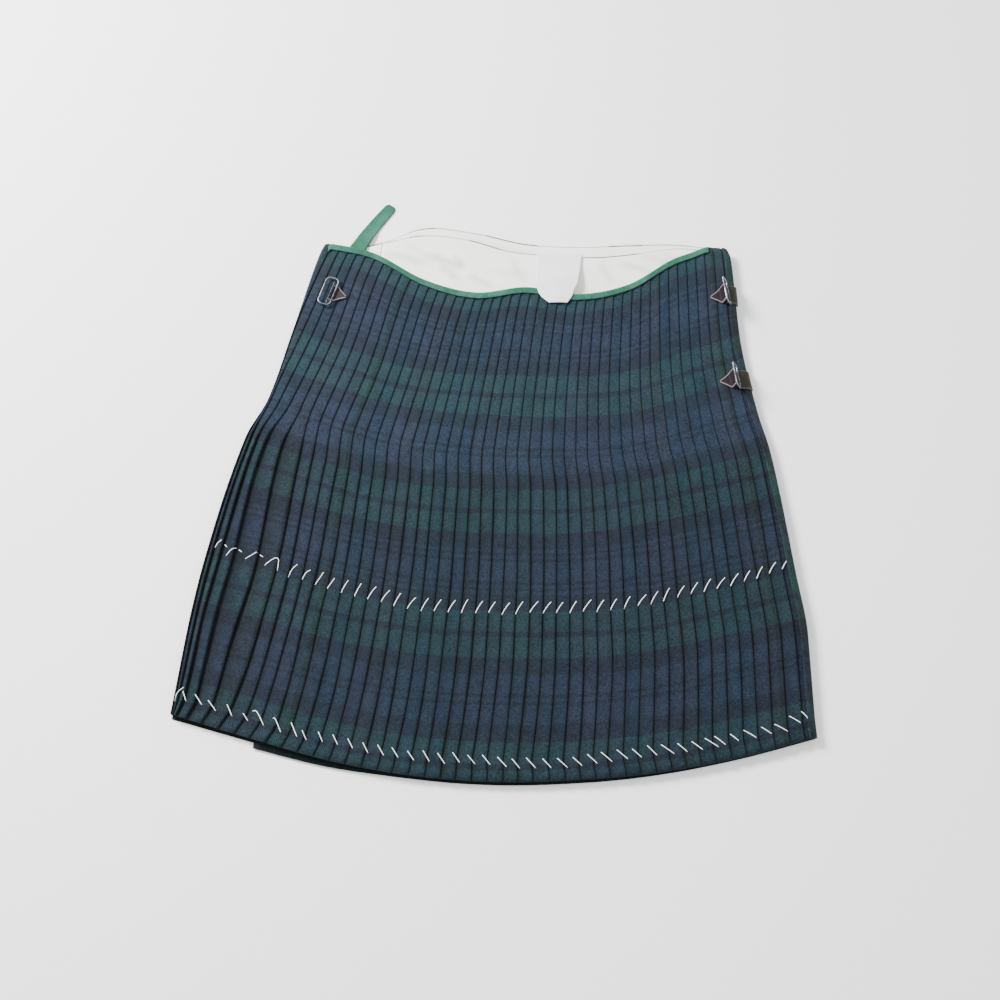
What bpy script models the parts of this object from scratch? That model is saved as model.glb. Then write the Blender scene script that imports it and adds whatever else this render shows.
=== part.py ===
# A heavy wool kilt laid flat on a surface, its pleated back uppermost.
# Metres, +Z up. +Y runs from the hem to the waist, +X to the right of the laid kilt.
# From the surface upwards lie the over apron, the under apron and the pleated back.
# Sizes in the tables are millimetres. A row of a table is one level from waist to hem.

import math
from collections import namedtuple

import bpy
import numpy as np
from mathutils import Matrix

MM = 0.001
SEAM = 0.3                  # clearance between pieces that touch

# Cloth and trimmings, wall thickness
TARTAN = 1.0
APRON = 1.4
LINING = 1.0
TAPE = 0.9
TAB = 1.2
LABEL = 1.0
STRAP = 2.2
CHAPE = 2.0

# Levels of the layers at their middle surface
OVER_APRON_Z = APRON / 2
OVER_LINING_Z = APRON + SEAM + LINING / 2
UNDER_APRON_Z = APRON + LINING + 2 * SEAM + APRON / 2
UNDER_APRON_LOW_Z = APRON + SEAM + APRON / 2
UNDER_LINING_Z = 2 * APRON + LINING + 3 * SEAM + LINING / 2

# Pleating
FOLDS = 42                  # fold edges, each to the right of its pleat
FIRST_TUCK = 0.4            # the first pleat's depth beside the others
LOOSE_PLEATS = 3.0          # how many pleats at the left the spread reaches
PUFF_REACH = 0.16           # share of the width over which the sides puff up

APRON_COLUMNS = 25          # stations across an apron
TAPE_COLUMNS = 33           # stations along the waist binding
LABEL_COLUMNS = 7           # stations across the label
TURN_STATIONS = 5           # stations of the back round the right side
OVER_TURN_STATIONS = 8      # stations of the over apron round it
STRAP_TURN_STATIONS = 6     # stations of a strap round it

# Sides
LEFT_ROLL = 8.0             # width of the quarter turn at the left edge
RIGHT_ROLL = 8.0            # half width of the turned-up apron edge at the right
STRIP = 9.5                 # width of the over apron that shows on top at the right
BINDING_DEPTH = 8.0
BINDING_OUT = 0.8           # its turn's clearance outside the cut edge
EDGE_BAR = 3.0              # bound edge of an apron
LINING_INSET = 1.0          # of the under lining from its apron's two side edges
LINING_END = 0.40           # where the linings stop, between the tape and the hip level
LAYERS_STEP = 0.46          # where the under apron sinks below them

# y at nine even stations from the left edge to the right; layer is the spacing of the cloth
# layers in a pleat, tuck its hidden depth over its width, spread how much wider the loose
# pleats at the left are, rests the height of what lies below, puff extra height at a side
Level = namedtuple("Level", "left right y layer tuck spread rests puff_left puff_right")
WAIST = Level(-224, 290, (345, 329, 291, 272.5, 280, 270, 284, 323.5, 336),
              1.35, 0.35, 0.15, 7.2, 0.0, 0.0)
TAPE_EDGE = Level(-228, 292, (336, 321, 283, 264.5, 272, 262, 276, 315.5, 328),
                  1.35, 0.35, 0.15, 7.2, 0.0, 0.0)
HIP = Level(-257, 297, (221, 194, 170, 160, 158, 157, 164, 190, 213),
            1.40, 0.50, 0.20, 4.6, 0.5, 0.2)
FELL = Level(-281, 312, (128, 103, 79, 67, 62, 61, 68, 90, 112),
             1.50, 0.70, 0.45, 3.8, 1.5, 0.3)
THIGH = Level(-304, 324, (76, 48, 24, 12, 9, 9, 21, 39, 58),
              1.70, 1.00, 0.60, 3.5, 4.0, 0.6)
KNOTS = Level(-341, 343, (-76, -99, -123, -138, -143, -143, -136, -116, -96),
              1.70, 1.00, 0.50, 3.5, 5.0, 0.8)
LOWER = Level(-353, 351, (-146, -173, -197, -211, -215, -215, -206, -187, -168),
              1.70, 0.95, 0.20, 3.5, 3.5, 0.6)
TACKED = Level(-364, 351, (-236, -260, -286, -303, -310, -308, -300, -284, -261),
               1.60, 0.90, 0.08, 3.5, 1.5, 0.3)
HEM = Level(-367, 352, (-259, -286, -311, -327, -334, -332, -324, -308, -285),
            1.50, 0.90, 0.05, 3.5, 0.8, 0.2)
BACK = (WAIST, TAPE_EDGE, HIP, FELL, THIGH, KNOTS, LOWER, TACKED, HEM)

# Waist edges of the aprons above the back, y at nine stations
OVER_WAIST_Y = (339, 346, 370, 363, 347, 343, 345, 346, 337)
UNDER_WAIST_Y = (347, 358, 352, 335, 329, 326, 331, 339, 333)
# How far each apron's hem shows below the back's
OVER_HEM_DROP = (4, 2.5, 2, 2, 2, 2, 1.5, 0.5, 0)
UNDER_HEM_DROP = (9, 6.5, 3, 2.5, 2.5, 2.5, 1.5, 0, -1)
UNDER_LEFT_INSET = (74, 93)     # its free edge from the left side, at the waist and the hem

# Middle line of the loose tab of tape: place, height and half width at each station
TabStation = namedtuple("TabStation", "x y z half")
TAB_ROUTE = (
    TabStation(-183.5, 331, 5.1, 8.0), TabStation(-179, 340, 5.0, 8.2),
    TabStation(-174, 350, 4.5, 8.3), TabStation(-168.5, 361, 3.3, 8.3),
    TabStation(-162, 373, 1.2, 8.2), TabStation(-153.5, 386, 0.70, 8.0),
    TabStation(-146, 396, 0.70, 7.6), TabStation(-141.5, 402, 0.70, 7.0),
    TabStation(-139.5, 404.7, 0.70, 5.6),
)
# The label from its seam on the lining down over the tape onto the pleats
LabelStation = namedtuple("LabelStation", "y left right lift")
LABEL_ROUTE = (
    LabelStation(331, 47, 105, 0.0), LabelStation(318, 46, 103, 0.13),
    LabelStation(305, 45, 101, 0.5), LabelStation(294, 45, 99, 0.91),
    LabelStation(286, 45, 98, 1.03), LabelStation(276, 47, 93, 1.03),
    LabelStation(267, 51, 90, 1.03), LabelStation(258, 61, 84, 0.98),
)

# Buckles: centre, lift above the pleats, length, turn about Z and tilt about the long axis in
# degrees, and the side of the chape
Buckle = namedtuple("Buckle", "name x y lift length turn tilt side")
FRAME_WIDTH = 16.0
FRAME_CORNER = 5.0
WIRE = 1.6
BAR = 1.3
BAR_OFFSET = 3.0            # bar from the middle of the frame, towards the chape
BUCKLES = (
    Buckle("left", -214.0, 273.5, CHAPE + SEAM, 38.0, -18.0, 0.0, 1),
    Buckle("upper_right", 281.0, 268.5, 4.8, 33.0, 7.0, 65.0, -1),
    Buckle("lower_right", 286.5, 152.5, 4.8, 31.0, 7.0, 65.0, -1),
)
CHAPE_HALF = 10.0
CHAPE_POINT = 13.0          # length of its pointed end
STRAP_HALF = 12.0
STRAPS = {"upper_strap": (269.0, TAPE_EDGE, HIP), "lower_strap": (152.0, HIP, FELL)}
STRAP_END = 5.0             # how far a strap runs on past the turn of the side


def through(values, u):
    # Catmull-Rom curve through evenly spaced values, read at fractions u
    values = np.asarray(values, float)
    u = np.asarray(u, float)
    first = 2 * values[0] - values[1]
    last = 2 * values[-1] - values[-2]
    v = np.concatenate(([first], values, [last]))
    at = np.clip(u, 0, 1) * (len(values) - 1)
    i = np.minimum(at.astype(int), len(values) - 2)
    t = at - i
    a, b, c, d = v[i], v[i + 1], v[i + 2], v[i + 3]
    cubic = (3 * b - a - 3 * c + d) * t ** 3
    square = (2 * a - 5 * b + 4 * c - d) * t ** 2
    return 0.5 * (2 * b + (c - a) * t + square + cubic)


def share(level, x):
    # Fraction of the way from the left edge to the right
    return (np.asarray(x, float) - level.left) / (level.right - level.left)


def level_y(level, x):
    return through(level.y, share(level, x))


def between(upper, lower, part):
    # The level that lies a given part of the way from one level down to the next
    def mix(a, b):
        return tuple(np.add(np.multiply(a, 1 - part), np.multiply(b, part)))
    numbers = mix(upper[:2], lower[:2])
    rest = mix(upper[3:], lower[3:])
    return Level(*numbers, mix(upper.y, lower.y), *rest)


LINED = (WAIST, TAPE_EDGE, between(TAPE_EDGE, HIP, LINING_END))


def level_at(x, y):
    # The level that passes through a place on the back
    for upper, lower in zip(BACK, BACK[1:]):
        high, low = level_y(upper, x), level_y(lower, x)
        if y >= low:
            break
    return between(upper, lower, float((high - y) / (high - low)))


def pleats_top(x, y):
    # Height of the pleats' outer surface at a place
    return float(back_top(level_at(x, y), x))


def fold_edges(level):
    # x of every fold edge: even pleats, wider towards the loose left side
    i = np.arange(FOLDS + 1)
    widths = 1 + level.spread * np.exp(-(i / LOOSE_PLEATS) ** 2)
    steps = np.cumsum(widths) / widths.sum()
    return level.left + (level.right - level.left) * steps[:-1]


def back_top(level, x):
    # Height of the pleats' outer surface: stacked layers, puffed up at the sides
    u = share(level, x)
    stack = level.rests + 2 * level.layer * (1 + level.tuck) + TARTAN
    left = level.puff_left * np.exp(-(u / PUFF_REACH) ** 2)
    right = level.puff_right * np.exp(-((1 - u) / PUFF_REACH) ** 2)
    return stack + left + right


def right_height(level):
    # Outer height of the apron edge that is turned up over the right side
    return float(back_top(level, level.right)) + SEAM + APRON


def right_turn(level, inset, start, stop, steps):
    # Points on the elliptical turn at the right side, set in from its outer surface
    middle = right_height(level) / 2
    angles = np.radians(np.linspace(start, stop, steps))
    x = level.right - RIGHT_ROLL + (RIGHT_ROLL - inset) * np.cos(angles)
    z = middle + (middle - inset) * np.sin(angles)
    return np.column_stack((x, z))


def back_section(level):
    # One level's middle line, left to right: a quarter turn up from the apron at the left,
    # then for each pleat its fold edge, the layer that returns beneath it, the inner fold
    # and the start of the next face, and last the turn under the apron edge at the right
    edges = fold_edges(level)
    heights = back_top(level, edges) - TARTAN / 2
    seat = APRON + SEAM + TARTAN / 2
    turn = np.radians([0, 22, 50, 90])
    rise = float(back_top(level, level.left + LEFT_ROLL)) - TARTAN / 2 - seat
    reach = min(LEFT_ROLL, 0.7 * (edges[0] - level.left)) - TARTAN / 2
    line = [(level.left + TARTAN / 2 + reach * (1 - math.cos(a)), seat + rise * math.sin(a))
            for a in turn]
    before = level.left
    tucks = np.full(FOLDS, level.tuck)
    tucks[0] *= FIRST_TUCK
    for x, z, tuck in zip(edges, heights, tucks):
        depth = tuck * (x - before)
        fall = 2 * level.layer * tuck
        line += [(x, z), (x, z - level.layer),
                 (x - depth, z - level.layer - fall),
                 (x - depth, z - 2 * level.layer - fall),
                 (x, z - 2 * level.layer)]
        before = x
    under_strip = APRON + 2 * SEAM + TARTAN / 2
    line += [tuple(p) for p in right_turn(level, under_strip, 90, -20, TURN_STATIONS)]
    line = np.array(line)
    return np.column_stack((line[:, 0], level_y(level, line[:, 0]), line[:, 1]))


def flat_mesh(name, grid):
    # Open surface through a grid of points, every cell split along the same diagonal
    rows, columns = grid.shape[:2]
    index = np.arange(rows * columns).reshape(rows, columns)
    a, b = index[:-1, :-1].ravel(), index[:-1, 1:].ravel()
    c, d = index[1:, 1:].ravel(), index[1:, :-1].ravel()
    forward = (grid[:-1, 1:, 0] >= grid[:-1, :-1, 0]).ravel()
    first = np.where(forward[:, None], np.column_stack((a, d, c)), np.column_stack((a, d, b)))
    second = np.where(forward[:, None], np.column_stack((a, c, b)), np.column_stack((b, d, c)))
    mesh = bpy.data.meshes.new(name)
    points = (grid.reshape(-1, 3) * MM).tolist()
    mesh.from_pydata(points, [], np.vstack((first, second)).tolist())
    return mesh


def material(name, colour, roughness, metallic=0.0):
    look = bpy.data.materials.new(name)
    look.use_nodes = True
    shader = look.node_tree.nodes["Principled BSDF"]
    shader.inputs["Base Color"].default_value = (*colour, 1)
    shader.inputs["Roughness"].default_value = roughness
    shader.inputs["Metallic"].default_value = metallic
    return look


def place(name, mesh, look, collection):
    piece = bpy.data.objects.new(name, mesh)
    piece.data.materials.append(look)
    collection.objects.link(piece)
    return piece


def cloth(name, grid, thickness, look, collection):
    # A wall of cloth about a grid of points on its middle surface
    piece = place(name, flat_mesh(name, grid), look, collection)
    wall = piece.modifiers.new("Wall", "SOLIDIFY")
    wall.thickness = thickness * MM
    wall.offset = 0
    wall.use_even_offset = True
    wall.use_quality_normals = True
    return piece


def pleated_back(looks, parts):
    grid = np.array([back_section(level) for level in BACK])
    cloth("pleated_back", grid, TARTAN, looks["tartan"], parts)


def apron_rows(waist_y, hem_drop, steps=()):
    # The back's levels with the apron's own waist edge and hem
    top = WAIST._replace(y=waist_y)
    hem = HEM._replace(y=tuple(np.subtract(HEM.y, through(hem_drop, np.linspace(0, 1, 9)))))
    return [top, TAPE_EDGE, *steps, *BACK[2:-1], hem]


def over_apron(looks, parts):
    # Flat on the surface, turned up and over at the right
    rows = []
    for level, back in zip(apron_rows(OVER_WAIST_Y, OVER_HEM_DROP), BACK):
        x = over_stations(level)[:-1]
        flat = np.column_stack((x, level_y(level, x), np.full(len(x), OVER_APRON_Z)))
        turn = right_turn(level, APRON / 2, -90, 90, OVER_TURN_STATIONS)
        turn = np.vstack((turn, [level.right - STRIP, turn[-1][1]]))
        edge = level_y(back, turn[:, 0])
        rows.append(np.vstack((flat, np.column_stack((turn[:, 0], edge, turn[:, 1])))))
    cloth("over_apron", np.array(rows), APRON, looks["tartan"], parts)


def over_stations(level):
    # x of the over apron's columns, left edge to the start of its turn
    return np.linspace(level.left, level.right - RIGHT_ROLL, APRON_COLUMNS)


def under_stations(level):
    # x of the under apron's columns, from its free edge to inside the right turn
    fall = (WAIST.y[0] - level.y[0]) / (WAIST.y[0] - HEM.y[0])
    inset = UNDER_LEFT_INSET[0] + (UNDER_LEFT_INSET[1] - UNDER_LEFT_INSET[0]) * max(fall, 0)
    return np.linspace(level.left + inset, level.right - RIGHT_ROLL - 1, APRON_COLUMNS)


def under_apron(looks, parts):
    # Flat above the over apron and its lining, and lower where the lining ends
    step = between(TAPE_EDGE, HIP, LAYERS_STEP)
    levels = apron_rows(WAIST.y, (0,) * 9, [step])
    across = np.linspace(0, 1, APRON_COLUMNS)
    rows = []
    for i, level in enumerate(levels):
        x = under_stations(level)
        y = level_y(level, x)
        if i == 0:
            y = through(UNDER_WAIST_Y, across)
        if i == len(levels) - 1:
            y = y - through(UNDER_HEM_DROP, across)
        z = UNDER_APRON_Z if i < 3 else UNDER_APRON_LOW_Z
        rows.append(np.column_stack((x, y, np.full(len(x), z))))
    cloth("under_apron", np.array(rows), APRON, looks["tartan"], parts)


def lining(name, rows_x, waist_y, z, looks, parts):
    # From just inside an apron's waist edge down to where the lining ends
    rows = []
    for i, (level, x) in enumerate(zip(LINED, rows_x)):
        y = waist_y if i == 0 else level_y(level, x)
        rows.append(np.column_stack((x, y, np.full(len(x), z))))
    cloth(name, np.array(rows), LINING, looks["cotton"], parts)


def between_edges(x):
    # The stations of a lining that stops just inside its apron's two side edges
    return np.concatenate(([x[0] + LINING_INSET], x[1:-1], [x[-1] - LINING_INSET]))


def edge_bar(name, x, y, low, high, looks, parts):
    # The bound edge of an apron: a flat bar just outside its waist edge
    rows = [np.column_stack((x, y + SEAM + off, np.full(len(x), (low + high) / 2)))
            for off in (EDGE_BAR, 0)]
    cloth(name, np.array(rows), high - low, looks["tape"], parts)


def apron_trimmings(looks, parts):
    over_x = over_stations(WAIST)
    over_y = through(OVER_WAIST_Y, share(WAIST, over_x))
    under_x = under_stations(WAIST)
    under_y = through(UNDER_WAIST_Y, np.linspace(0, 1, APRON_COLUMNS))
    lining("over_apron_lining", [over_stations(level)[1:-1] for level in LINED],
           over_y[1:-1], OVER_LINING_Z, looks, parts)
    lining("under_apron_lining", [between_edges(under_stations(level)) for level in LINED],
           under_y, UNDER_LINING_Z, looks, parts)
    edge_bar("over_apron_binding", over_x[1:], over_y[1:], 0.0, OVER_LINING_Z + LINING / 2,
             looks, parts)
    edge_bar("under_apron_binding", under_x, under_y, UNDER_APRON_Z - APRON / 2,
             UNDER_LINING_Z + LINING / 2, looks, parts)


def waist_binding(looks, parts):
    # Tape folded over the back's waist edge: a lower leg, the turn and an upper leg
    x = np.linspace(WAIST.left + LEFT_ROLL - 1, WAIST.right - RIGHT_ROLL - 3, TAPE_COLUMNS)
    edge = level_y(WAIST, x)
    low = np.full(TAPE_COLUMNS, WAIST.rests - SEAM - TAPE / 2)
    high = back_top(WAIST, x) + SEAM + TAPE / 2
    out = BINDING_OUT + TAPE / 2
    section = ((-BINDING_DEPTH, low), (out, low), (out, high), (-BINDING_DEPTH, high))
    rows = [np.column_stack((x, edge + off, z)) for off, z in section]
    cloth("waist_binding", np.array(rows), TAPE, looks["tape"], parts)


def tape_tab(looks, parts):
    # A free end of tape that leaves the left corner and droops to the surface
    route = np.array([(s.x, s.y, s.z) for s in TAB_ROUTE])
    along = np.gradient(route[:, :2], axis=0)
    along /= np.linalg.norm(along, axis=1)[:, None]
    side = np.column_stack((along[:, 1], -along[:, 0], np.zeros(len(route))))
    half = np.array([s.half for s in TAB_ROUTE])[:, None]
    rows = [route + side * half * k for k in (-1, 0, 1)]
    cloth("tape_tab", np.array(rows).transpose(1, 0, 2), TAB, looks["tape"], parts)


def care_label(looks, parts):
    # A plain label, from the lining up over the tape and down onto the pleats
    low = UNDER_LINING_Z + LINING / 2 + SEAM + LABEL / 2
    middle = (LABEL_ROUTE[0].left + LABEL_ROUTE[0].right) / 2
    high = float(back_top(WAIST, middle)) + 2 * SEAM + TAPE + LABEL / 2
    rows = []
    for s in LABEL_ROUTE:
        x = np.linspace(s.left, s.right, LABEL_COLUMNS)
        z = low + (high - low) * s.lift
        rows.append(np.column_stack((x, np.full_like(x, s.y), np.full_like(x, z))))
    cloth("care_label", np.array(rows), LABEL, looks["label"], parts)


def rounded_frame(length, width, corner, steps=4):
    # Points round a rectangle with arcs at its corners, long axis along Y
    points = []
    for k, (sx, sy) in enumerate(((1, 1), (-1, 1), (-1, -1), (1, -1))):
        cx = sx * (width / 2 - corner)
        cy = sy * (length / 2 - corner)
        for i in range(steps + 1):
            a = math.radians(90 * (k + i / steps))
            points.append((cx + corner * math.cos(a), cy + corner * math.sin(a), 0))
    return points


def buckle_place(buckle):
    # Axes and centre: turned about Z, tilted about the long axis, set above the pleats
    turn = math.radians(buckle.turn)
    tilt = math.radians(buckle.tilt)
    rise = buckle.lift + FRAME_WIDTH / 2 * math.sin(tilt)
    z = pleats_top(buckle.x, buckle.y) + SEAM + WIRE + rise
    spin = np.array([[math.cos(turn), -math.sin(turn), 0],
                     [math.sin(turn), math.cos(turn), 0], [0, 0, 1]])
    lean = np.array([[math.cos(tilt), 0, math.sin(tilt)], [0, 1, 0],
                     [-math.sin(tilt), 0, math.cos(tilt)]])
    return spin @ lean, np.array([buckle.x, buckle.y, z])


def wire_mesh(name, points, radius):
    # A closed round wire through points, turned into a mesh
    curve = bpy.data.curves.new(name, "CURVE")
    curve.dimensions = "3D"
    curve.bevel_depth = radius * MM
    curve.bevel_resolution = 2
    spline = curve.splines.new("POLY")
    spline.points.add(len(points) - 1)
    for point, place_at in zip(spline.points, points):
        point.co = (*(c * MM for c in place_at), 1)
    spline.use_cyclic_u = True
    guide = bpy.data.objects.new(name, curve)
    bpy.context.scene.collection.objects.link(guide)
    graph = bpy.context.evaluated_depsgraph_get()
    mesh = bpy.data.meshes.new_from_object(guide.evaluated_get(graph))
    bpy.data.objects.remove(guide)
    return mesh


def buckle_frames(looks, parts, cutters):
    # A rounded wire frame with a bar across it
    for buckle in BUCKLES:
        axes, centre = buckle_place(buckle)
        loop = np.array(rounded_frame(buckle.length, FRAME_WIDTH, FRAME_CORNER))
        points = loop @ axes.T + centre
        name = buckle.name + "_buckle"
        frame = place(name, wire_mesh(name, points.tolist(), WIRE), looks["metal"], parts)
        bpy.ops.mesh.primitive_cylinder_add(vertices=10, radius=BAR * MM,
                                            depth=(buckle.length - 0.5) * MM)
        bar = bpy.context.object
        bar.name = name + "_bar"
        bar.data.transform(bar_matrix(axes, centre + axes[:, 0] * buckle.side * BAR_OFFSET))
        bar.hide_render = True
        bar.display_type = "WIRE"
        for home in list(bar.users_collection):
            home.objects.unlink(bar)
        cutters.objects.link(bar)
        joined = frame.modifiers.new("Bar", "BOOLEAN")
        joined.operation = "UNION"
        joined.object = bar


def bar_matrix(axes, middle):
    # Turns a cylinder's axis to the frame's long axis and moves it to its middle
    matrix = np.eye(4)
    matrix[:3, :3] = np.column_stack((axes[:, 0], -axes[:, 2], axes[:, 1]))
    matrix[:3, 3] = middle * MM
    return Matrix(matrix.tolist())


def chapes(looks, parts):
    # The pointed leather that carries a frame: flat on the pleats, and up to the bar where
    # the frame stands on edge
    for buckle in BUCKLES:
        centre = buckle_place(buckle)[1]
        turn = math.radians(buckle.turn)
        tilt = math.radians(buckle.tilt)
        out = np.array([math.cos(turn), math.sin(turn)]) * buckle.side
        along = np.array([-math.sin(turn), math.cos(turn)])
        flat = pleats_top(buckle.x, buckle.y) + SEAM + CHAPE / 2
        near = FRAME_WIDTH / 2 * math.cos(tilt) + WIRE + SEAM
        bar_z = centre[2] + BAR_OFFSET * math.sin(tilt)
        top = bar_z - BAR - 2 * SEAM if tilt else flat
        stations = ((BAR_OFFSET * math.cos(tilt) + 0.5, top, 1.0),
                    (near - 1.5, flat + 0.35 * (top - flat), 1.0),
                    (near, flat, 1.0),
                    (near + 0.45 * CHAPE_POINT, flat, 0.55),
                    (near + CHAPE_POINT, flat, 0.12))
        rows = []
        for reach, z, part in stations:
            middle = centre[:2] + out * reach
            rows.append([(*(middle + along * CHAPE_HALF * part * k), z) for k in (-1, 0, 1)])
        cloth(buckle.name + "_chape", np.array(rows).transpose(1, 0, 2), CHAPE,
              looks["leather"], parts)


def straps(looks, parts):
    # Round the right side over the apron's turned-up edge, and under the buckle's frame
    for name, (middle, upper, lower) in STRAPS.items():
        rows = []
        for k in (-1, -0.33, 0.33, 1):
            y = middle + STRAP_HALF * k
            level = between(upper, lower, (upper.y[-1] - y) / (upper.y[-1] - lower.y[-1]))
            turn = right_turn(level, -SEAM - STRAP / 2, -15, 90, STRAP_TURN_STATIONS)
            line = np.vstack((turn, [turn[-1][0] - STRAP_END, turn[-1][1]]))
            rows.append(np.column_stack((line[:, 0], np.full(len(line), y), line[:, 1])))
        cloth(name, np.array(rows), STRAP, looks["strap"], parts)


def main():
    for old in list(bpy.data.objects):
        bpy.data.objects.remove(old)
    parts = bpy.data.collections.new("kilt")
    cutters = bpy.data.collections.new("joining_shapes")
    bpy.context.scene.collection.children.link(parts)
    bpy.context.scene.collection.children.link(cutters)
    looks = {
        "tartan": material("tartan", (0.035, 0.062, 0.075), 0.9),
        "tape": material("tape", (0.09, 0.24, 0.17), 0.8),
        "cotton": material("cotton", (0.82, 0.80, 0.77), 0.85),
        "label": material("label", (0.85, 0.85, 0.84), 0.7),
        "leather": material("leather", (0.06, 0.045, 0.04), 0.5),
        "strap": material("strap", (0.07, 0.065, 0.045), 0.55),
        "metal": material("metal", (0.12, 0.12, 0.13), 0.35, 0.9),
    }
    pleated_back(looks, parts)
    waist_binding(looks, parts)
    over_apron(looks, parts)
    under_apron(looks, parts)
    apron_trimmings(looks, parts)
    tape_tab(looks, parts)
    care_label(looks, parts)
    buckle_frames(looks, parts, cutters)
    chapes(looks, parts)
    straps(looks, parts)


main()
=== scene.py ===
# Looks of a heavy tartan kilt laid flat, pleated back up, on a pale floor.
# Tables are in millimetres and follow the solids; everything in the meshes is in metres.

import math

import bpy
import numpy as np
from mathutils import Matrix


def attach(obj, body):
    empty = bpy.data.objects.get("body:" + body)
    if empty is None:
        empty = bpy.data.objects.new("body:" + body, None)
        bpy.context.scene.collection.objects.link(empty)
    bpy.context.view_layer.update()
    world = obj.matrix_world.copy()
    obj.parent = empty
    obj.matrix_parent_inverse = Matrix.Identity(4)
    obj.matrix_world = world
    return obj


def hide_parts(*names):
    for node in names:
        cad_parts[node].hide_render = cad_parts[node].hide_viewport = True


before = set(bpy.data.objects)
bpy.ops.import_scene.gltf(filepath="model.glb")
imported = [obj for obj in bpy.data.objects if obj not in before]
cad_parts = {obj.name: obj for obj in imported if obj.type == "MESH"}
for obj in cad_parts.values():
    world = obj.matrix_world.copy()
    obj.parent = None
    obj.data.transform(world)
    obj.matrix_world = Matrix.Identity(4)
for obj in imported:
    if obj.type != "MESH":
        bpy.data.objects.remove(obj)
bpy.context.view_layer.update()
mm = 0.001
draw = np.random.default_rng(7)
view = dict(elevation=69.0, distance=1648.5, lens=50.0, sensor=36.0, image=1000)

# Levels of the back from waist to hem: x of both sides, y at nine even stations between them,
# spacing of the cloth layers, hidden share of a pleat, height of what lies below and extra height
# at the left and right sides
levelTable = dict(
    left=(-224, -228, -257, -281, -304, -341, -353, -364, -367),
    right=(290, 292, 297, 312, 324, 343, 351, 351, 352),
    y=((345, 329, 291, 272.5, 280, 270, 284, 323.5, 336),
       (336, 321, 283, 264.5, 272, 262, 276, 315.5, 328),
       (221, 194, 170, 160, 158, 157, 164, 190, 213),
       (128, 103, 79, 67, 62, 61, 68, 90, 112),
       (76, 48, 24, 12, 9, 9, 21, 39, 58),
       (-76, -99, -123, -138, -143, -143, -136, -116, -96),
       (-146, -173, -197, -211, -215, -215, -206, -187, -168),
       (-236, -260, -286, -303, -310, -308, -300, -284, -261),
       (-259, -286, -311, -327, -334, -332, -324, -308, -285)),
    layer=(1.35, 1.35, 1.40, 1.50, 1.70, 1.70, 1.70, 1.60, 1.50),
    tuck=(0.35, 0.35, 0.50, 0.70, 1.00, 1.00, 0.95, 0.90, 0.90),
    rests=(7.2, 7.2, 4.6, 3.8, 3.5, 3.5, 3.5, 3.5, 3.5),
    puffLeft=(0.0, 0.0, 0.5, 1.5, 4.0, 5.0, 3.5, 1.5, 0.8),
    puffRight=(0.0, 0.0, 0.2, 0.3, 0.6, 0.8, 0.6, 0.3, 0.2),
)
clothSizes = dict(tartan=1.0, apron=1.4, lining=1.0, tape=0.9, seam=0.3,
                  leftRoll=8.0, rightRoll=8.0, strip=9.5, puffReach=0.16)
levelPlace = levelTable["y"][0][4] - np.array([row[4] for row in levelTable["y"]], float)
tapePlace, hipPlace = levelPlace[1:3]
hemPlace = levelPlace[-1]


def throughEven(values, u):
    # Catmull-Rom curve through evenly spaced values (last axis), read at fractions u
    v = np.asarray(values, float)
    first = 2 * v[..., :1] - v[..., 1:2]
    last = 2 * v[..., -1:] - v[..., -2:-1]
    v = np.concatenate((first, v, last), axis=-1)
    count = v.shape[-1] - 2
    at = np.clip(np.asarray(u, float), 0, 1) * (count - 1)
    i = np.minimum(at.astype(int), count - 2)
    t = at - i
    if v.ndim == 1:
        a, b, c, d = v[i], v[i + 1], v[i + 2], v[i + 3]
    else:
        a, b, c, d = (np.take_along_axis(v, i + k, axis=-1) for k in range(4))
    return 0.5 * (2 * b + (c - a) * t + (2 * a - 5 * b + 4 * c - d) * t ** 2
                  + (3 * b - a - 3 * c + d) * t ** 3)


def throughLevels(values, place):
    # Hermite curve down the levels, with the slope at each level damped where they are close
    v = np.asarray(values, float)
    steps = np.diff(levelPlace)
    rates = np.diff(v, axis=0) / (steps[:, None] if v.ndim > 1 else steps)
    inner = np.where(rates[1:] * rates[:-1] > 0,
                     2 * rates[1:] * rates[:-1] / (rates[1:] + rates[:-1] + 1e-9), 0)
    tangents = np.concatenate((rates[:1], inner, rates[-1:]))
    i = np.clip(np.searchsorted(levelPlace, place, side="right") - 1, 0, len(steps) - 1)
    h = steps[i]
    t = (place - levelPlace[i]) / h
    if v.ndim > 1:
        h, t = h[:, None], t[:, None]
    return ((2 * t ** 3 - 3 * t ** 2 + 1) * v[i] + (t ** 3 - 2 * t ** 2 + t) * h * tangents[i]
            + (3 * t ** 2 - 2 * t ** 3) * v[i + 1] + (t ** 3 - t ** 2) * h * tangents[i + 1])


def levelsAt(place):
    # Every column of the level table at distances from the waist, one row a distance
    level = {name: throughLevels(values, place) for name, values in levelTable.items()}
    level["place"] = place
    return {name: v if v.ndim > 1 else v[:, None] for name, v in level.items()}


def smoothStep(low, high, value):
    t = np.clip((np.asarray(value, float) - low) / (high - low), 0, 1)
    return t * t * (3 - 2 * t)


def shareOf(level, x):
    return (x - level["left"]) / (level["right"] - level["left"])


def levelY(level, x):
    return throughEven(level["y"], shareOf(level, x))


def backTop(level, x):
    # Height of the pleats' outer surface: stacked layers, puffed up at both sides
    u = shareOf(level, x)
    stack = level["rests"] + 2 * level["layer"] * (1 + level["tuck"]) + clothSizes["tartan"]
    reach = clothSizes["puffReach"]
    return (stack + level["puffLeft"] * np.exp(-(u / reach) ** 2)
            + level["puffRight"] * np.exp(-((1 - u) / reach) ** 2))


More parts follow.
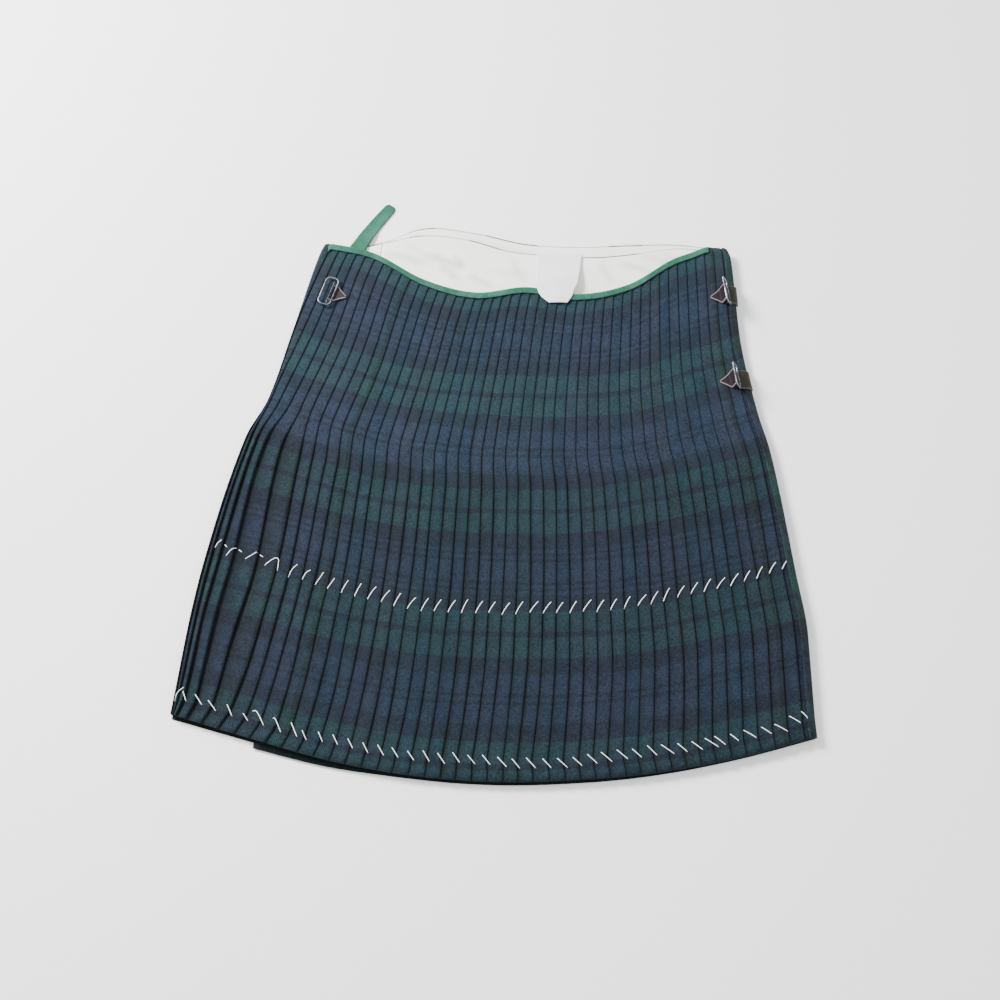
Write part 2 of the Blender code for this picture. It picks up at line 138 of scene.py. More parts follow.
def rightTurn(level, inset, degrees):
    # Ellipse round the right side, set in from its outer surface: x and z
    height = backTop(level, level["right"]) + clothSizes["seam"] + clothSizes["apron"]
    angle = np.radians(degrees)
    roll = clothSizes["rightRoll"]
    x = level["right"] - roll + (roll - inset) * np.cos(angle)
    return x, height / 2 + (height / 2 - inset) * np.sin(angle)


# Materials

class Wire:
    # A socket whose operators add Math nodes
    def __init__(self, graph, socket):
        self.graph = graph
        self.socket = socket

    def math(self, operation, *values):
        return self.graph.node("ShaderNodeMath", dict(operation=operation), values)

    def __add__(self, other):
        return self.math("ADD", self, other)

    def __radd__(self, other):
        return self.math("ADD", other, self)

    def __sub__(self, other):
        return self.math("SUBTRACT", self, other)

    def __rsub__(self, other):
        return self.math("SUBTRACT", other, self)

    def __mul__(self, other):
        return self.math("MULTIPLY", self, other)

    def __truediv__(self, other):
        return self.math("DIVIDE", self, other)

    def __mod__(self, other):
        return self.math("FLOORED_MODULO", self, other)

    def __lt__(self, other):
        return self.math("LESS_THAN", self, other)

    def __abs__(self):
        return self.math("ABSOLUTE", self)

    def floor(self):
        return self.math("FLOOR", self)

    def sine(self):
        return self.math("SINE", self)

    def pingPong(self, scale):
        return self.math("PINGPONG", self, scale)

    def within(self, low, high, start=0.0, stop=1.0):
        # Rises smoothly from start to stop while the value goes from low to high
        return self.graph.node("ShaderNodeMapRange", dict(interpolation_type="SMOOTHSTEP"),
                               (self, low, high, start, stop))


class Graph:
    # The nodes of one material about its Principled shader
    def __init__(self, name, **sockets):
        self.material = bpy.data.materials.new(name)
        self.material.use_nodes = True
        self.tree = self.material.node_tree
        self.shader = self.tree.nodes["Principled BSDF"]
        for socketName, value in sockets.items():
            self.shader.inputs[socketName.replace("_", " ")].default_value = value

    def node(self, kind, settings=None, values=(), output=0):
        made = self.tree.nodes.new(kind)
        for key, value in (settings or {}).items():
            setattr(made, key, value)
        pairs = values.items() if isinstance(values, dict) else enumerate(values)
        for key, value in pairs:
            self.put(made.inputs[key], value)
        return Wire(self, made.outputs[output])

    def put(self, socket, value):
        if isinstance(value, Wire):
            self.tree.links.new(value.socket, socket)
        elif value is not None:
            socket.default_value = value

    def feed(self, socketName, value):
        self.put(self.shader.inputs[socketName], value)

    def along(self):
        # The piece's own flat coordinates in millimetres
        uv = self.node("ShaderNodeUVMap", dict(uv_map="cloth"))
        parts = self.node("ShaderNodeSeparateXYZ", None, (uv,))
        return parts * 1000, Wire(self, parts.socket.node.outputs[1]) * 1000

    def place(self):
        return self.node("ShaderNodeTexCoord", None, (), "Object")

    def shade(self):
        # Painted shade in folds, creases and under edges, read from the piece's shade attribute, 0
        # on a piece that has no such attribute; on the bound edges it says instead how much of the
        # black shows
        return self.node("ShaderNodeAttribute", dict(attribute_name="shade"), (), "Fac")

    def noise(self, vector, scale, detail=2.0, roughness=0.5):
        return self.node("ShaderNodeTexNoise", None,
                         {"Vector": vector, "Scale": scale, "Detail": detail,
                          "Roughness": roughness})

    def blend(self, share, first, second):
        return self.node("ShaderNodeMix", dict(data_type="RGBA"),
                         {0: share, 6: first, 7: second}, 2)

    def scaled(self, colour, amount):
        # A colour brightened or darkened by a value
        return self.node("ShaderNodeVectorMath", dict(operation="SCALE"),
                         {0: colour, 3: amount})

    def bump(self, height, distance, strength=1.0):
        self.feed("Normal", self.node("ShaderNodeBump", None, {
            "Height": height, "Distance": distance, "Strength": strength}))

    def steps(self, value, stops):
        # Colour bands: each stop is where a colour starts, as a share from 0 to 1
        made = self.tree.nodes.new("ShaderNodeValToRGB")
        ramp = made.color_ramp
        ramp.interpolation = "CONSTANT"
        for i, (start, colour) in enumerate(stops):
            stop = ramp.elements[i] if i < 2 else ramp.elements.new(start)
            stop.position = start
            stop.color = (*colour, 1)
        self.put(made.inputs[0], value)
        return Wire(self, made.outputs[0])


# The tartan's half repeat, from the middle of one blue block to the middle of the next:
# where each stripe starts in millimetres, and its yarn
sett = dict(
    half=150,
    starts=((0, "blue"), (2, "black"), (6, "blue"), (28, "black"), (48, "green"), (72, "black"),
            (78, "green"), (102, "black"), (122, "blue"), (126, "black"), (130, "blue"),
            (134, "black"), (138, "blue")),
    shift=-57, thread=0.62,
    yarn=dict(green=(0.0105, 0.0325, 0.0310), blue=(0.0133, 0.0210, 0.0362),
              black=(0.0086, 0.0130, 0.0172)),
    tints=((0, (0.88, 0.98, 1.02)), (0.22, (1.0, 1.0, 1.0)), (0.44, (1.09, 0.97, 1.03)),
           (0.66, (0.95, 1.06, 0.99)), (0.86, (1.10, 0.99, 0.95))),
    nap=430.0, fine=950.0, cloud=22.0, patch=70.0,
)


def tartanLook():
    # Twill of two yarn sets: over two threads, under two, one step on at each row, so the
    # colour at a thread crossing is the lengthwise or the crosswise yarn's
    look = Graph("tartan", Roughness=0.95, Sheen_Weight=0.05, Sheen_Roughness=0.5,
                 Specular_IOR_Level=0.12)
    across, length = look.along()
    half = sett["half"]
    stops = [(start / half, sett["yarn"][yarn]) for start, yarn in sett["starts"]]
    wobble = look.noise(look.place(), 45.0, 1.0) * 1.6 - 0.8
    warp = look.steps((across + wobble * 0.3).pingPong(half) / half, stops)
    weft = look.steps((length + sett["shift"] + wobble).pingPong(half) / half, stops)
    thread = sett["thread"]
    column = across / thread
    row = length / thread
    lift = ((column.floor() + row.floor()) % 4) < 2
    yarn = look.blend(lift, weft, warp)
    pleat = (across / (2 * half) + 0.5).floor()
    chance = look.node("ShaderNodeTexWhiteNoise", dict(noise_dimensions="1D"), {"W": pleat})
    tint = look.steps(chance, sett["tints"])
    yarn = look.node("ShaderNodeVectorMath", dict(operation="MULTIPLY"), (yarn, tint))
    nap = look.noise(look.place(), sett["nap"], 2.0, 0.6)
    fine = look.noise(look.place(), sett["fine"], 3.0, 0.7)
    cloud = look.noise(look.place(), sett["cloud"], 3.0, 0.55)
    patch = look.noise(look.place(), sett["patch"], 2.0, 0.5)
    twill = ((column + row) * (math.pi / 2)).sine()
    shade = nap * 2.2 + fine * 1.1 + cloud * 0.5 + patch * 0.6 + twill * 0.15 - 1.2
    # The colour is darkened by the painted shade of the pleats' folds, the seam line under the tape
    # and the hem layers
    look.feed("Base Color", look.scaled(yarn, shade * (1 - look.shade())))
    crown = abs((column * math.pi).sine()) * lift + abs((row * math.pi).sine()) * (1 - lift)
    look.bump(crown * 0.5 + nap * 1.0 + fine * 0.8 + twill * 0.5, 0.00035, 0.8)
    return look.material


def tapeLook():
    # Wool tape with fine ribs across; the waist tape is darkened by painted shade along its lower
    # edge
    look = Graph("tape", Roughness=0.9, Sheen_Weight=0.08, Specular_IOR_Level=0.15)
    across, length = look.along()
    rib = (across * (math.pi / 0.9)).sine()
    fuzz = look.noise(look.place(), 800.0, 3.0, 0.65)
    cloud = look.noise(look.place(), 35.0, 3.0)
    colour = look.blend(cloud.within(0.35, 0.7), (0.017, 0.086, 0.053, 1),
                        (0.036, 0.130, 0.090, 1))
    look.feed("Base Color", look.scaled(colour, (0.15 + fuzz * 1.6 + rib * 0.08)
                                        * (1 - look.shade())))
    look.bump(rib * 0.35 + fuzz * 0.9, 0.0003, 0.8)
    return look.material


def edgeLook():
    # Black bound edge of an apron, over which the lining's turned edge rolls in places: the
    # shade says how much of the black shows
    look = Graph("edge", Roughness=0.9, Specular_IOR_Level=0.15)
    fuzz = look.noise(look.place(), 500.0, 3.0, 0.65)
    shows = (look.shade() + fuzz * 0.5 - 0.25).within(0.15, 0.75)
    look.feed("Base Color", look.blend(shows, (0.56, 0.55, 0.52, 1), (0.018, 0.022, 0.020, 1)))
    look.bump(fuzz, 0.0002, 0.5)
    return look.material


def cottonLook():
    # Plain weave cotton, cream white, a little yellowed and pink in places, with painted shade
    # beside its creases
    look = Graph("cotton", Roughness=0.9, Specular_IOR_Level=0.15)
    across, length = look.along()
    weave = (across * (math.pi / 0.45)).sine() * (length * (math.pi / 0.45)).sine()
    cloud = look.noise(look.place(), 14.0, 4.0, 0.6)
    stain = look.noise(look.place(), 26.0, 3.0, 0.6)
    cream = look.blend(cloud.within(0.35, 0.75), (0.95, 0.945, 0.925, 1), (0.90, 0.885, 0.83, 1))
    pink = look.blend(stain.within(0.56, 0.74), cream, (0.90, 0.82, 0.80, 1))
    look.feed("Base Color", look.scaled(pink, 1 - look.shade()))
    soft = look.noise(look.place(), 90.0, 3.0, 0.55)
    look.bump(weave * 0.12 + soft, 0.0008, 0.6)
    return look.material


def labelLook():
    # Woven satin label, white, with fine ribs across
    look = Graph("label", Roughness=0.6, Specular_IOR_Level=0.35)
    length = look.along()[1]
    rib = (length * (math.pi / 0.35)).sine()
    cloud = look.noise(look.place(), 60.0, 3.0)
    look.feed("Base Color", look.blend(cloud.within(0.3, 0.7), (0.86, 0.86, 0.88, 1),
                                       (0.80, 0.80, 0.82, 1)))
    look.bump(rib * 0.3 + cloud * 2, 0.0003, 0.6)
    return look.material


def leatherLook(name, dark, worn, rough):
    # Grained leather, rubbed pale along its edges: the first flat coordinate is the distance
    # from the nearest edge
    look = Graph(name, Roughness=rough, Specular_IOR_Level=0.2)
    fromEdge = look.along()[0]
    grain = look.node("ShaderNodeTexVoronoi", dict(feature="DISTANCE_TO_EDGE"),
                      {"Vector": look.place(), "Scale": 1300.0})
    rub = look.noise(look.place(), 260.0, 4.0, 0.6)
    edge = (fromEdge + rub * 0.6 - 0.3).within(0.45, 1.15, 1.0, 0.0)
    tone = look.blend(edge * (0.55 + rub * 0.6), dark, worn)
    look.feed("Base Color", look.scaled(tone, 0.6 + rub * 0.8))
    look.feed("Roughness", rough + edge * 0.15 + rub * 0.1 - 0.05)
    look.bump(grain * 0.8 + rub, 0.0002, 0.6)
    return look.material


def metalLook():
    # Blackened steel, worn bright along the frame, with fine scratches
    look = Graph("metal", Metallic=0.9, Roughness=0.35)
    wear = look.noise(look.place(), 420.0, 4.0, 0.65)
    patch = look.noise(look.place(), 90.0, 2.0)
    bare = (wear * 0.6 + patch * 0.6).within(0.48, 0.72)
    tone = look.blend(bare, (0.055, 0.058, 0.068, 1), (0.26, 0.27, 0.30, 1))
    # The bar is darkened by painted shade from the shade attribute
    look.feed("Base Color", look.scaled(tone, 1 - look.shade()))
    look.feed("Roughness", 0.5 - bare * 0.18)
    look.bump(wear, 0.00003, 0.4)
    return look.material


def threadLook():
    # White cotton tacking thread: twisted plies along its length
    look = Graph("thread", Roughness=0.85, Specular_IOR_Level=0.2)
    around, length = look.along()
    ply = ((length * 1.6 + around * 2.0) * math.pi).sine()
    look.feed("Base Color", look.blend(ply.within(-1.0, 1.0), (0.82, 0.84, 0.85, 1),
                                       (0.96, 0.97, 0.98, 1)))
    look.bump(ply, 0.00015, 0.8)
    return look.material


looks = dict(
    tartan=tartanLook(), tape=tapeLook(), edge=edgeLook(), cotton=cottonLook(),
    label=labelLook(), metal=metalLook(), thread=threadLook(),
    leather=leatherLook("leather", (0.013, 0.009, 0.012, 1), (0.33, 0.27, 0.26, 1), 0.55),
    strap=leatherLook("strap", (0.022, 0.021, 0.014, 1), (0.12, 0.11, 0.07, 1), 0.6),
)
print("materials made")


# Meshes

def addPiece(name, points, faces, uv, slotName, nodes, look=None):
    # A mesh from whole arrays: points in millimetres, faces as rows of corner numbers, and
    # flat coordinates in millimetres at each point
    mesh = bpy.data.meshes.new(name)
    corners = np.concatenate([block.ravel() for block in faces]).astype(np.int32)
    sizes = np.concatenate([np.full(len(block), block.shape[1]) for block in faces])
    mesh.vertices.add(len(points))
    mesh.vertices.foreach_set("co", (points * mm).astype(np.float32).ravel())
    mesh.loops.add(len(corners))
    mesh.loops.foreach_set("vertex_index", corners)
    mesh.polygons.add(len(sizes))
    starts = np.concatenate(([0], np.cumsum(sizes)[:-1])).astype(np.int32)
    mesh.polygons.foreach_set("loop_start", starts)
    mesh.update(calc_edges=True)
    layer = mesh.uv_layers.new(name="cloth")
    layer.data.foreach_set("uv", (uv[corners] * mm).astype(np.float32).ravel())
    mesh.validate()
    mesh.shade_smooth()
    mesh.materials.append(looks[look or slotName])
    piece = bpy.data.objects.new(name, mesh)
    bpy.context.scene.collection.objects.link(piece)
    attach(piece, "root")
    if nodes:
        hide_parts(*nodes)
    return piece


def addShade(piece, values):
    # Painted shade at each point, in folds, creases and under edges, or on the bound edges how much
    # of the black shows, for the material to read
    attribute = piece.data.attributes.new("shade", "FLOAT", "POINT")
    attribute.data.foreach_set("value", np.asarray(values, np.float32).ravel())


def gridFaces(rows, columns, around=False):
    # Four-cornered faces over a grid, rows running away from the waist, columns to the right
    index = np.arange(rows * columns).reshape(rows, columns)
    if around:
        index = np.concatenate((index, index[:, :1]), axis=1)
    cell = (index[:-1, :-1], index[1:, :-1], index[1:, 1:], index[:-1, 1:])
    return np.stack(cell, axis=-1).reshape(-1, 4)


def addCloth(name, grid, uv, thickness, slotName, nodes, rounded=0.0):
    # An open sheet over a grid of points on its middle surface, given a wall
    rows, columns = grid.shape[:2]
    piece = addPiece(name, grid.reshape(-1, 3), [gridFaces(rows, columns)],
                     uv.reshape(-1, 2), slotName, nodes)
    wall = piece.modifiers.new("Wall", "SOLIDIFY")
    wall.thickness = thickness * mm
    wall.offset = 0
    wall.use_even_offset = True
    wall.use_quality_normals = True
    if rounded:
        edge = piece.modifiers.new("Edge", "BEVEL")
        edge.width = rounded * mm
        edge.segments = 2
        edge.limit_method = "ANGLE"
        edge.angle_limit = math.radians(50)
    return piece


def stacked(*parts):
    return np.stack(np.broadcast_arrays(*parts), axis=-1)


def runOf(*parts):
    # Distance run along the last axis of a line given by two coordinates, from its start
    steps = np.hypot(*(np.diff(part, axis=-1) for part in np.broadcast_arrays(*parts)))
    return np.concatenate((np.zeros_like(steps[..., :1]), np.cumsum(steps, axis=-1)), axis=-1)


def tubes(paths, radius, sides):
    # Round threads or wires: circles of the given radius set square to each path, closed at
    # both ends. Paths has the axes tube, station, xyz
    paths = np.asarray(paths, float)
    count, stations = paths.shape[:2]
    tangent = np.gradient(paths, axis=1)
    tangent /= np.linalg.norm(tangent, axis=-1, keepdims=True)
    side = np.cross(tangent, (0.0, 0.0, 1.0))
    side /= np.linalg.norm(side, axis=-1, keepdims=True)
    over = np.cross(side, tangent)
    angle = np.linspace(0, 2 * math.pi, sides, endpoint=False)
    ring = (side[:, :, None] * np.cos(angle)[:, None] + over[:, :, None] * np.sin(angle)[:, None])
    points = paths[:, :, None] + ring * np.broadcast_to(radius, (stations,))[:, None, None]
    step = np.linalg.norm(np.diff(paths, axis=1), axis=-1)
    run = np.concatenate((np.zeros((count, 1)), np.cumsum(step, axis=1)), axis=1)
    uv = stacked(np.arange(sides)[None, None] / sides * 2 * np.max(radius), run[:, :, None])
    one = gridFaces(stations, sides, True)
    offset = np.arange(count)[:, None, None] * stations * sides
    ends = np.stack((np.arange(sides), (stations - 1) * sides + np.arange(sides)[::-1]))
    walls = (one[None] + offset).reshape(-1, 4)
    caps = (ends[None] + offset).reshape(-1, sides)
    return points.reshape(-1, 3), [walls, caps], uv.reshape(-1, 2)


# Pleated back

back = dict(
    folds=44, rows=112, firstTuck=0.4,
    faceStations=(0.16, 0.34, 0.52, 0.70, 0.85, 0.95),
    crownFell=0.20, crownLoose=0.9, wander=0.8, rise=0.25, wall=0.8,
    layerFell=0.85, shallow=0.76, deepLeft=0.99, deepReach=4.0, rowCrowd=0.75,
    upright=7.0, uprightFrom=590.0, uprightTo=614.0, fellSoft=(-4, 46), tapeSoft=(6, 30),
    # darkFell, darkLoose and darkLeft: strengths of the painted shade in the pleats' valleys
    stripeCentre=17.0, drift=3.5, darkFell=0.12, darkLoose=0.50, darkLeft=0.42,
    cornerReach=9.0, riseAt=264.0, riseReach=17.0, riseHigh=6.0, riseDeep=60.0,
)
# Distance of the first nine fold lines from the left side at the nine levels: on the way down
# to the fell two of them run off round the side, and below it they fan out
leftLines = np.array((
    (11.5, 23, 34.5, 46, 57.5, 69, 80.5, 92, 103.5),
    (11.0, 22.6, 34, 45.6, 57, 68.6, 80, 91.6, 103),
    (1.4, 11.0, 23.0, 35.5, 48, 60.5, 73, 86, 99),
    (0.8, 2.4, 12.7, 25.5, 39.5, 52, 66, 79.5, 93),
    (0.8, 4.4, 11.5, 22, 41.5, 65, 80, 95, 109),
    (0.8, 5.2, 14.5, 29, 56, 80, 95, 111, 125),
    (0.8, 5.2, 12.5, 26, 50.5, 76, 92, 108, 124),
    (0.8, 4.2, 10, 24, 43, 63, 81, 98, 116),
    (0.8, 2.6, 5, 17, 34, 53, 71, 88, 106)))
# Where the stitching of the pleats ends, along the back
fellX = (-290, -277, -262, -247, -235, -220, -207, -194, -120, 0, 120, 239, 320)
fellY = (112, 109, 105, 104, 96, 92, 86, 82, 66, 59, 59, 62, 92)


def slowWaves(count, place, length, size):
    # One smooth uneven line for each of count folds: three sines with drawn phases
    total = np.zeros((len(place), count))
    for k, share in enumerate((0.55, 0.3, 0.15)):
        phase = draw.uniform(0, 2 * math.pi, count)
        stretch = draw.uniform(0.8, 1.25, count)
        total += share * np.sin(2 * math.pi * place[:, None] * (k + 1) * stretch / length + phase)
    return total * size


def foldEdges(level):
    # x of every fold edge: the first ones from the table, the others even up to the right side
    # and nearly upright below the hem's stitches
    near = level["left"] + throughLevels(leftLines, level["place"][:, 0])
    count = back["folds"] - near.shape[1]
    part = np.arange(1, count + 1)[None] / (count + 1)
    far = near[:, -1:] + (level["right"] - near[:, -1:]) * part
    below = smoothStep(back["uprightFrom"], back["uprightTo"], level["place"][:, :1])
    far = far + back["upright"] * below * np.sin(math.pi * part) ** 0.7
    return np.concatenate((near, far), axis=1)


foldNumber = np.arange(back["folds"])[None]
crowd = np.linspace(0, 1, back["rows"])
crowding = (1 - back["rowCrowd"]) * np.sin(2 * math.pi * crowd) / (2 * math.pi)
backPlace = hemPlace * (crowd + crowding)
backLevel = levelsAt(backPlace)
backLevel["place"] = backPlace[:, None]
underTape = smoothStep(*back["tapeSoft"], backPlace)[:, None]
edges = foldEdges(backLevel)
fellDown = np.interp(edges, fellX, fellY) - levelY(backLevel, edges)
loose = smoothStep(*back["fellSoft"], fellDown)
settled = smoothStep(1.0, 4.0, foldNumber)
edges += (slowWaves(back["folds"], backPlace, 420, back["wander"]) * (0.25 + 0.75 * loose)
          * underTape * settled)
leftBell = np.exp(-((foldNumber - 1.5) / back["deepReach"]) ** 2)
layerLoose = backLevel["layer"] * (back["shallow"] + back["deepLeft"] * leftBell * loose)
layers = back["layerFell"] + (layerLoose - back["layerFell"]) * loose
layers = layers * (1 + slowWaves(back["folds"], backPlace, 260, 0.22) * loose)
foldTop = backTop(backLevel, edges) - back["wall"] / 2
foldTop += (slowWaves(back["folds"], backPlace, 330, back["rise"]) * underTape
            * (0.3 + 0.7 * loose))
crowns = (back["crownFell"] + (back["crownLoose"] - back["crownFell"]) * loose) * underTape
crowns = crowns * draw.uniform(0.5, 1.4, back["folds"])


def waistRise(level, x):
    # A bell by which the waist edge stands higher near its right corner, fading downwards
    fade = np.clip(1 - level["place"] / back["riseDeep"], 0, 1)
    return back["riseHigh"] * np.exp(-((x - back["riseAt"]) / back["riseReach"]) ** 2) * fade


def cornerDrop(level, x):
    # How far the waist edge falls on a quarter circle into the right side
    reach = back["cornerReach"]
    t = np.clip((x - level["right"] + reach) / reach, 0, 1)
    fade = np.clip(1 - level["place"] / (2.5 * reach), 0, 1)
    return reach * (1 - np.sqrt(1 - t ** 2 * 0.999)) * fade


def faceHeight(low, high, crown, t):
    # A pleat's face: a rise from under the fold before it that eases off, with a crown
    return low + (high - low) * (1 - (1 - t) ** 1.5) + crown * (4 * t * (1 - t)) ** 0.8


def pleatedBack():
    # Section of a row: a roll up at the left with a crease beside it, then for each pleat its
    # crowned face, rounded fold edge, the return below, the inner fold and the next start
    level = backLevel
    half = back["wall"] / 2
    seat = clothSizes["apron"] + clothSizes["seam"] + half
    x, z, u, dark = [], [], [], []

    # Each point carries pd, painted shade that stands in for the shadow in the folds and round the
    # sides
    def put(px, pz, pu, pd=0.25):
        for column, value in zip((x, z, u, dark), (px, pz, pu, pd)):
            column.append(np.broadcast_to(value, (back["rows"], 1)))

    left = level["left"] + half
    rollTop = backTop(level, level["left"] + clothSizes["leftRoll"]) - half
    reach = np.minimum(clothSizes["leftRoll"], 0.7 * (edges[:, :1] - level["left"])) - half
    for degrees in (0, 18, 36, 56, 74, 90):
        a = math.radians(degrees)
        put(left + reach * (1 - math.cos(a)), seat + (rollTop - seat) * math.sin(a),
            degrees / 90 * 12 - 20)
    before, low = left + reach, rollTop
    for i in range(back["folds"]):
        edge, top, crown = edges[:, i:i + 1], foldTop[:, i:i + 1], crowns[:, i:i + 1]
        layer = layers[:, i:i + 1]
        width = edge - before
        middle = 2 * sett["half"] * (i + 1) + back["stripeCentre"] + draw.normal() * back["drift"]
        near = math.exp(-((i - 2.5) / 3.0) ** 2)
        opened = loose[:, i:i + 1]
        for t in back["faceStations"]:
            # Painted shade on each face, darkest just beside the fold before it: a thin line where
            # the pleats are stitched, wider and deeper where they hang open and most at the left
            # side
            valley = (back["darkFell"] * (1 - opened) * (1 - t) ** 6
                      + opened * (back["darkLoose"] * (1 - t) ** 2.4
                                 + back["darkLeft"] * near * (1 - t) + 0.10))
            put(before + width * t, faceHeight(low, top, crown, t), middle + width * (t - 0.5),
                valley)
        tuck = level["tuck"] * (back["firstTuck"] if i < 3 else 0.85)
        depth = tuck * width
        fall = 0.6 * level["layer"] * tuck
        bend = layer / 2
        for degrees in (50, 0, -50):
            a = math.radians(degrees)
            put(edge - bend + bend * math.cos(a), top - bend + bend * math.sin(a),
                middle + width / 2 + 1 + (50 - degrees) * 0.02, 0.1 * (degrees < 0))
        for degrees in (135, 225):
            a = math.radians(degrees)
            put(edge - depth + bend + bend * math.cos(a),
                top - 3 * bend - fall + bend * math.sin(a),
                middle + sett["half"] + (degrees - 180) * 0.02, 0.35)
        before, low = edge, top - 2 * layer
        lastU = middle + 2 * sett["half"] - width / 2
        put(before, low, lastU, 0.25 + 0.3 * opened)
    inset = clothSizes["apron"] + 2 * clothSizes["seam"] + half
    for k, degrees in enumerate((90, 65, 40, 15, -10, -25)):
        px, pz = rightTurn(level, inset, degrees)
        put(px, pz, lastU + 3 + 4 * k)
    x, z, u, dark = (np.concatenate(column, axis=1) for column in (x, z, u, dark))
    grid = stacked(x, levelY(level, x) + waistRise(level, x) - cornerDrop(level, x), z)
    uv = stacked(u, level["y"][:, 4:5])
    piece = addCloth("pleats", grid, uv, back["wall"], "tartan", ["pleated_back"])
    # Painted shadow along the line just under the waist tape's lower edge
    seam = 0.45 * np.exp(-((level["place"] - tapePlace - 0.6) / 1.1) ** 2)
    addShade(piece, np.clip(dark + seam, 0, 0.85))
    return piece


pleats = pleatedBack()
print("pleated back made")


# Aprons, linings and their bound edges

apron = dict(
    overWaistY=(339, 346, 370, 363, 347, 343, 345, 346, 337),
    underWaistY=(347, 358, 352, 335, 329, 326, 331, 339, 333),
    overHemDrop=(4, 2.5, 2, 2, 2, 2, 1.5, 0.5, 0),
    underHemDrop=(9, 6.5, 3, 2.5, 2.5, 2.5, 1.5, 0, -1),
    underInset=(74, 93), columns=60, waistRows=12, rows=60,
    liningEnd=0.40, liningColumns=120, layersStep=0.46, bindingDepth=8.0, edgeBar=1.5,
    tapeCorner=5.0, tapeEnd=264.0, hemDark=0.78, hemDarkFrom=25.0, hemDarkTo=10.0, hemDropFrom=24.0,
)
apronPlace = np.concatenate((np.linspace(0, tapePlace, apron["waistRows"], endpoint=False),
                             np.linspace(tapePlace, hemPlace, apron["rows"])))


def apronY(level, x, waistY, waistShare, hemDrop, hemShare):
    # The level's own y, drawn up to the apron's waist edge above the tape and down to its hem
    y = levelY(level, x)
    up = np.clip(1 - level["place"] / tapePlace, 0, 1)
    down = smoothStep(hemPlace - apron["hemDropFrom"], hemPlace, level["place"])
    raised = throughEven(waistY, waistShare) - throughEven(levelTable["y"][0], shareOf(level, x))
    return y + up * raised - down * throughEven(hemDrop, hemShare)


def hemShade(level):
    # Painted shadow on the lower layers where they show under the pleats' hem
    start, stop = hemPlace - apron["hemDarkFrom"], hemPlace - apron["hemDarkTo"]
    return apron["hemDark"] * smoothStep(start, stop, level["place"])


def overApron():
    # Flat on the floor, round the right side on an ellipse and back over the pleats' edge
    level = levelsAt(apronPlace)
    half = clothSizes["apron"] / 2
    part = np.linspace(0, 1, apron["columns"])[None]
    flatX = level["left"] + (level["right"] - clothSizes["rightRoll"] - level["left"]) * part
    degrees = np.linspace(-90, 90, 14)[None, 1:]
    turnX, turnZ = rightTurn(level, half, degrees)
    lapX = level["right"] - clothSizes["strip"] + np.zeros((1, 1))
    x = np.concatenate((flatX, turnX, lapX), axis=1)
    z = np.concatenate((np.full_like(flatX, half), turnZ, turnZ[:, -1:]), axis=1)
    turned = levelY(level, x) + waistRise(level, x) - cornerDrop(level, x)
    flat = apronY(level, x, apron["overWaistY"], shareOf(level, x), apron["overHemDrop"],
                  shareOf(level, x))
    y = np.where(np.arange(x.shape[1]) < apron["columns"], flat, turned)
    uv = stacked(runOf(x, z), level["y"][:, 4:5])
    piece = addCloth("over_apron_cloth", stacked(x, y, z), uv, clothSizes["apron"], "tartan",
                     ["over_apron"])
    addShade(piece, hemShade(level) * (np.arange(x.shape[1]) < apron["columns"]))
    return piece


def underStations(level, columns):
    # x from the under apron's free edge to inside the turn at the right
    first, last = levelTable["y"][0][0], levelTable["y"][-1][0]
    fall = np.clip((first - level["y"][:, :1]) / (first - last), 0, 1)
    inset = apron["underInset"][0] + (apron["underInset"][1] - apron["underInset"][0]) * fall
    start = level["left"] + inset
    stop = level["right"] - clothSizes["rightRoll"] - 1
    return start + (stop - start) * np.linspace(0, 1, columns)[None]


def underApron():
    # Flat over the other apron and its lining, and lower where that lining ends
    level = levelsAt(apronPlace)
    x = underStations(level, apron["columns"])
    across = np.linspace(0, 1, apron["columns"])[None]
    y = apronY(level, x, apron["underWaistY"], across, apron["underHemDrop"], across)
    high = clothSizes["apron"] * 1.5 + clothSizes["lining"] + 2 * clothSizes["seam"]
    low = clothSizes["apron"] * 1.5 + clothSizes["seam"]
    step = tapePlace + (hipPlace - tapePlace) * apron["layersStep"]
    z = high + (low - high) * smoothStep(step, hipPlace, level["place"])
    uv = stacked(x + 400, level["y"][:, 4:5])
    piece = addCloth("under_apron_cloth", stacked(x, y, z), uv, clothSizes["apron"], "tartan",
                     ["under_apron"])
    addShade(piece, hemShade(level) + 0 * x)
    return piece


overCloth = overApron()
underCloth = underApron()
print("aprons made")

# Soft creases of the linings: from x, y to x, y, height and half width
overCreases = ((-120, 366, -40, 352, 0.9, 5.0), (-60, 362, 30, 340, 0.6, 4.0))
underCreases = (
    (-146, 338, -96, 322, 1.4, 6.0), (-128, 352, -70, 318, 1.0, 5.0),
    (-92, 336, -50, 316, 1.6, 5.0), (-82, 318, -56, 300, 1.4, 4.5),
    (-64, 334, -50, 318, 1.2, 4.0), (-44, 306, -14, 288, 1.3, 4.5),
    (10, 326, 28, 290, 0.8, 5.0), (-20, 312, 30, 306, 0.5, 5.0),
    (120, 322, 140, 290, 0.9, 6.0), (150, 322, 186, 310, 1.4, 4.5),
    (176, 334, 214, 320, 1.2, 4.5), (200, 336, 240, 324, 0.8, 4.5),
)
liningInset = 1.0


def creaseLift(x, y, creases):
    # Sum of soft ridges: a bell across each line, faded at both of its ends
    total = np.zeros(np.broadcast_shapes(x.shape, y.shape))
    for ax, ay, bx, by, height, width in creases:
        length = math.hypot(bx - ax, by - ay)
        dx, dy = (bx - ax) / length, (by - ay) / length
        along = ((x - ax) * dx + (y - ay) * dy) / length
        off = (y - ay) * dx - (x - ax) * dy
        fade = smoothStep(-0.2, 0.25, along) * smoothStep(1.2, 0.7, along)
        total += height * fade * np.exp(-(off / width) ** 2)
    return total


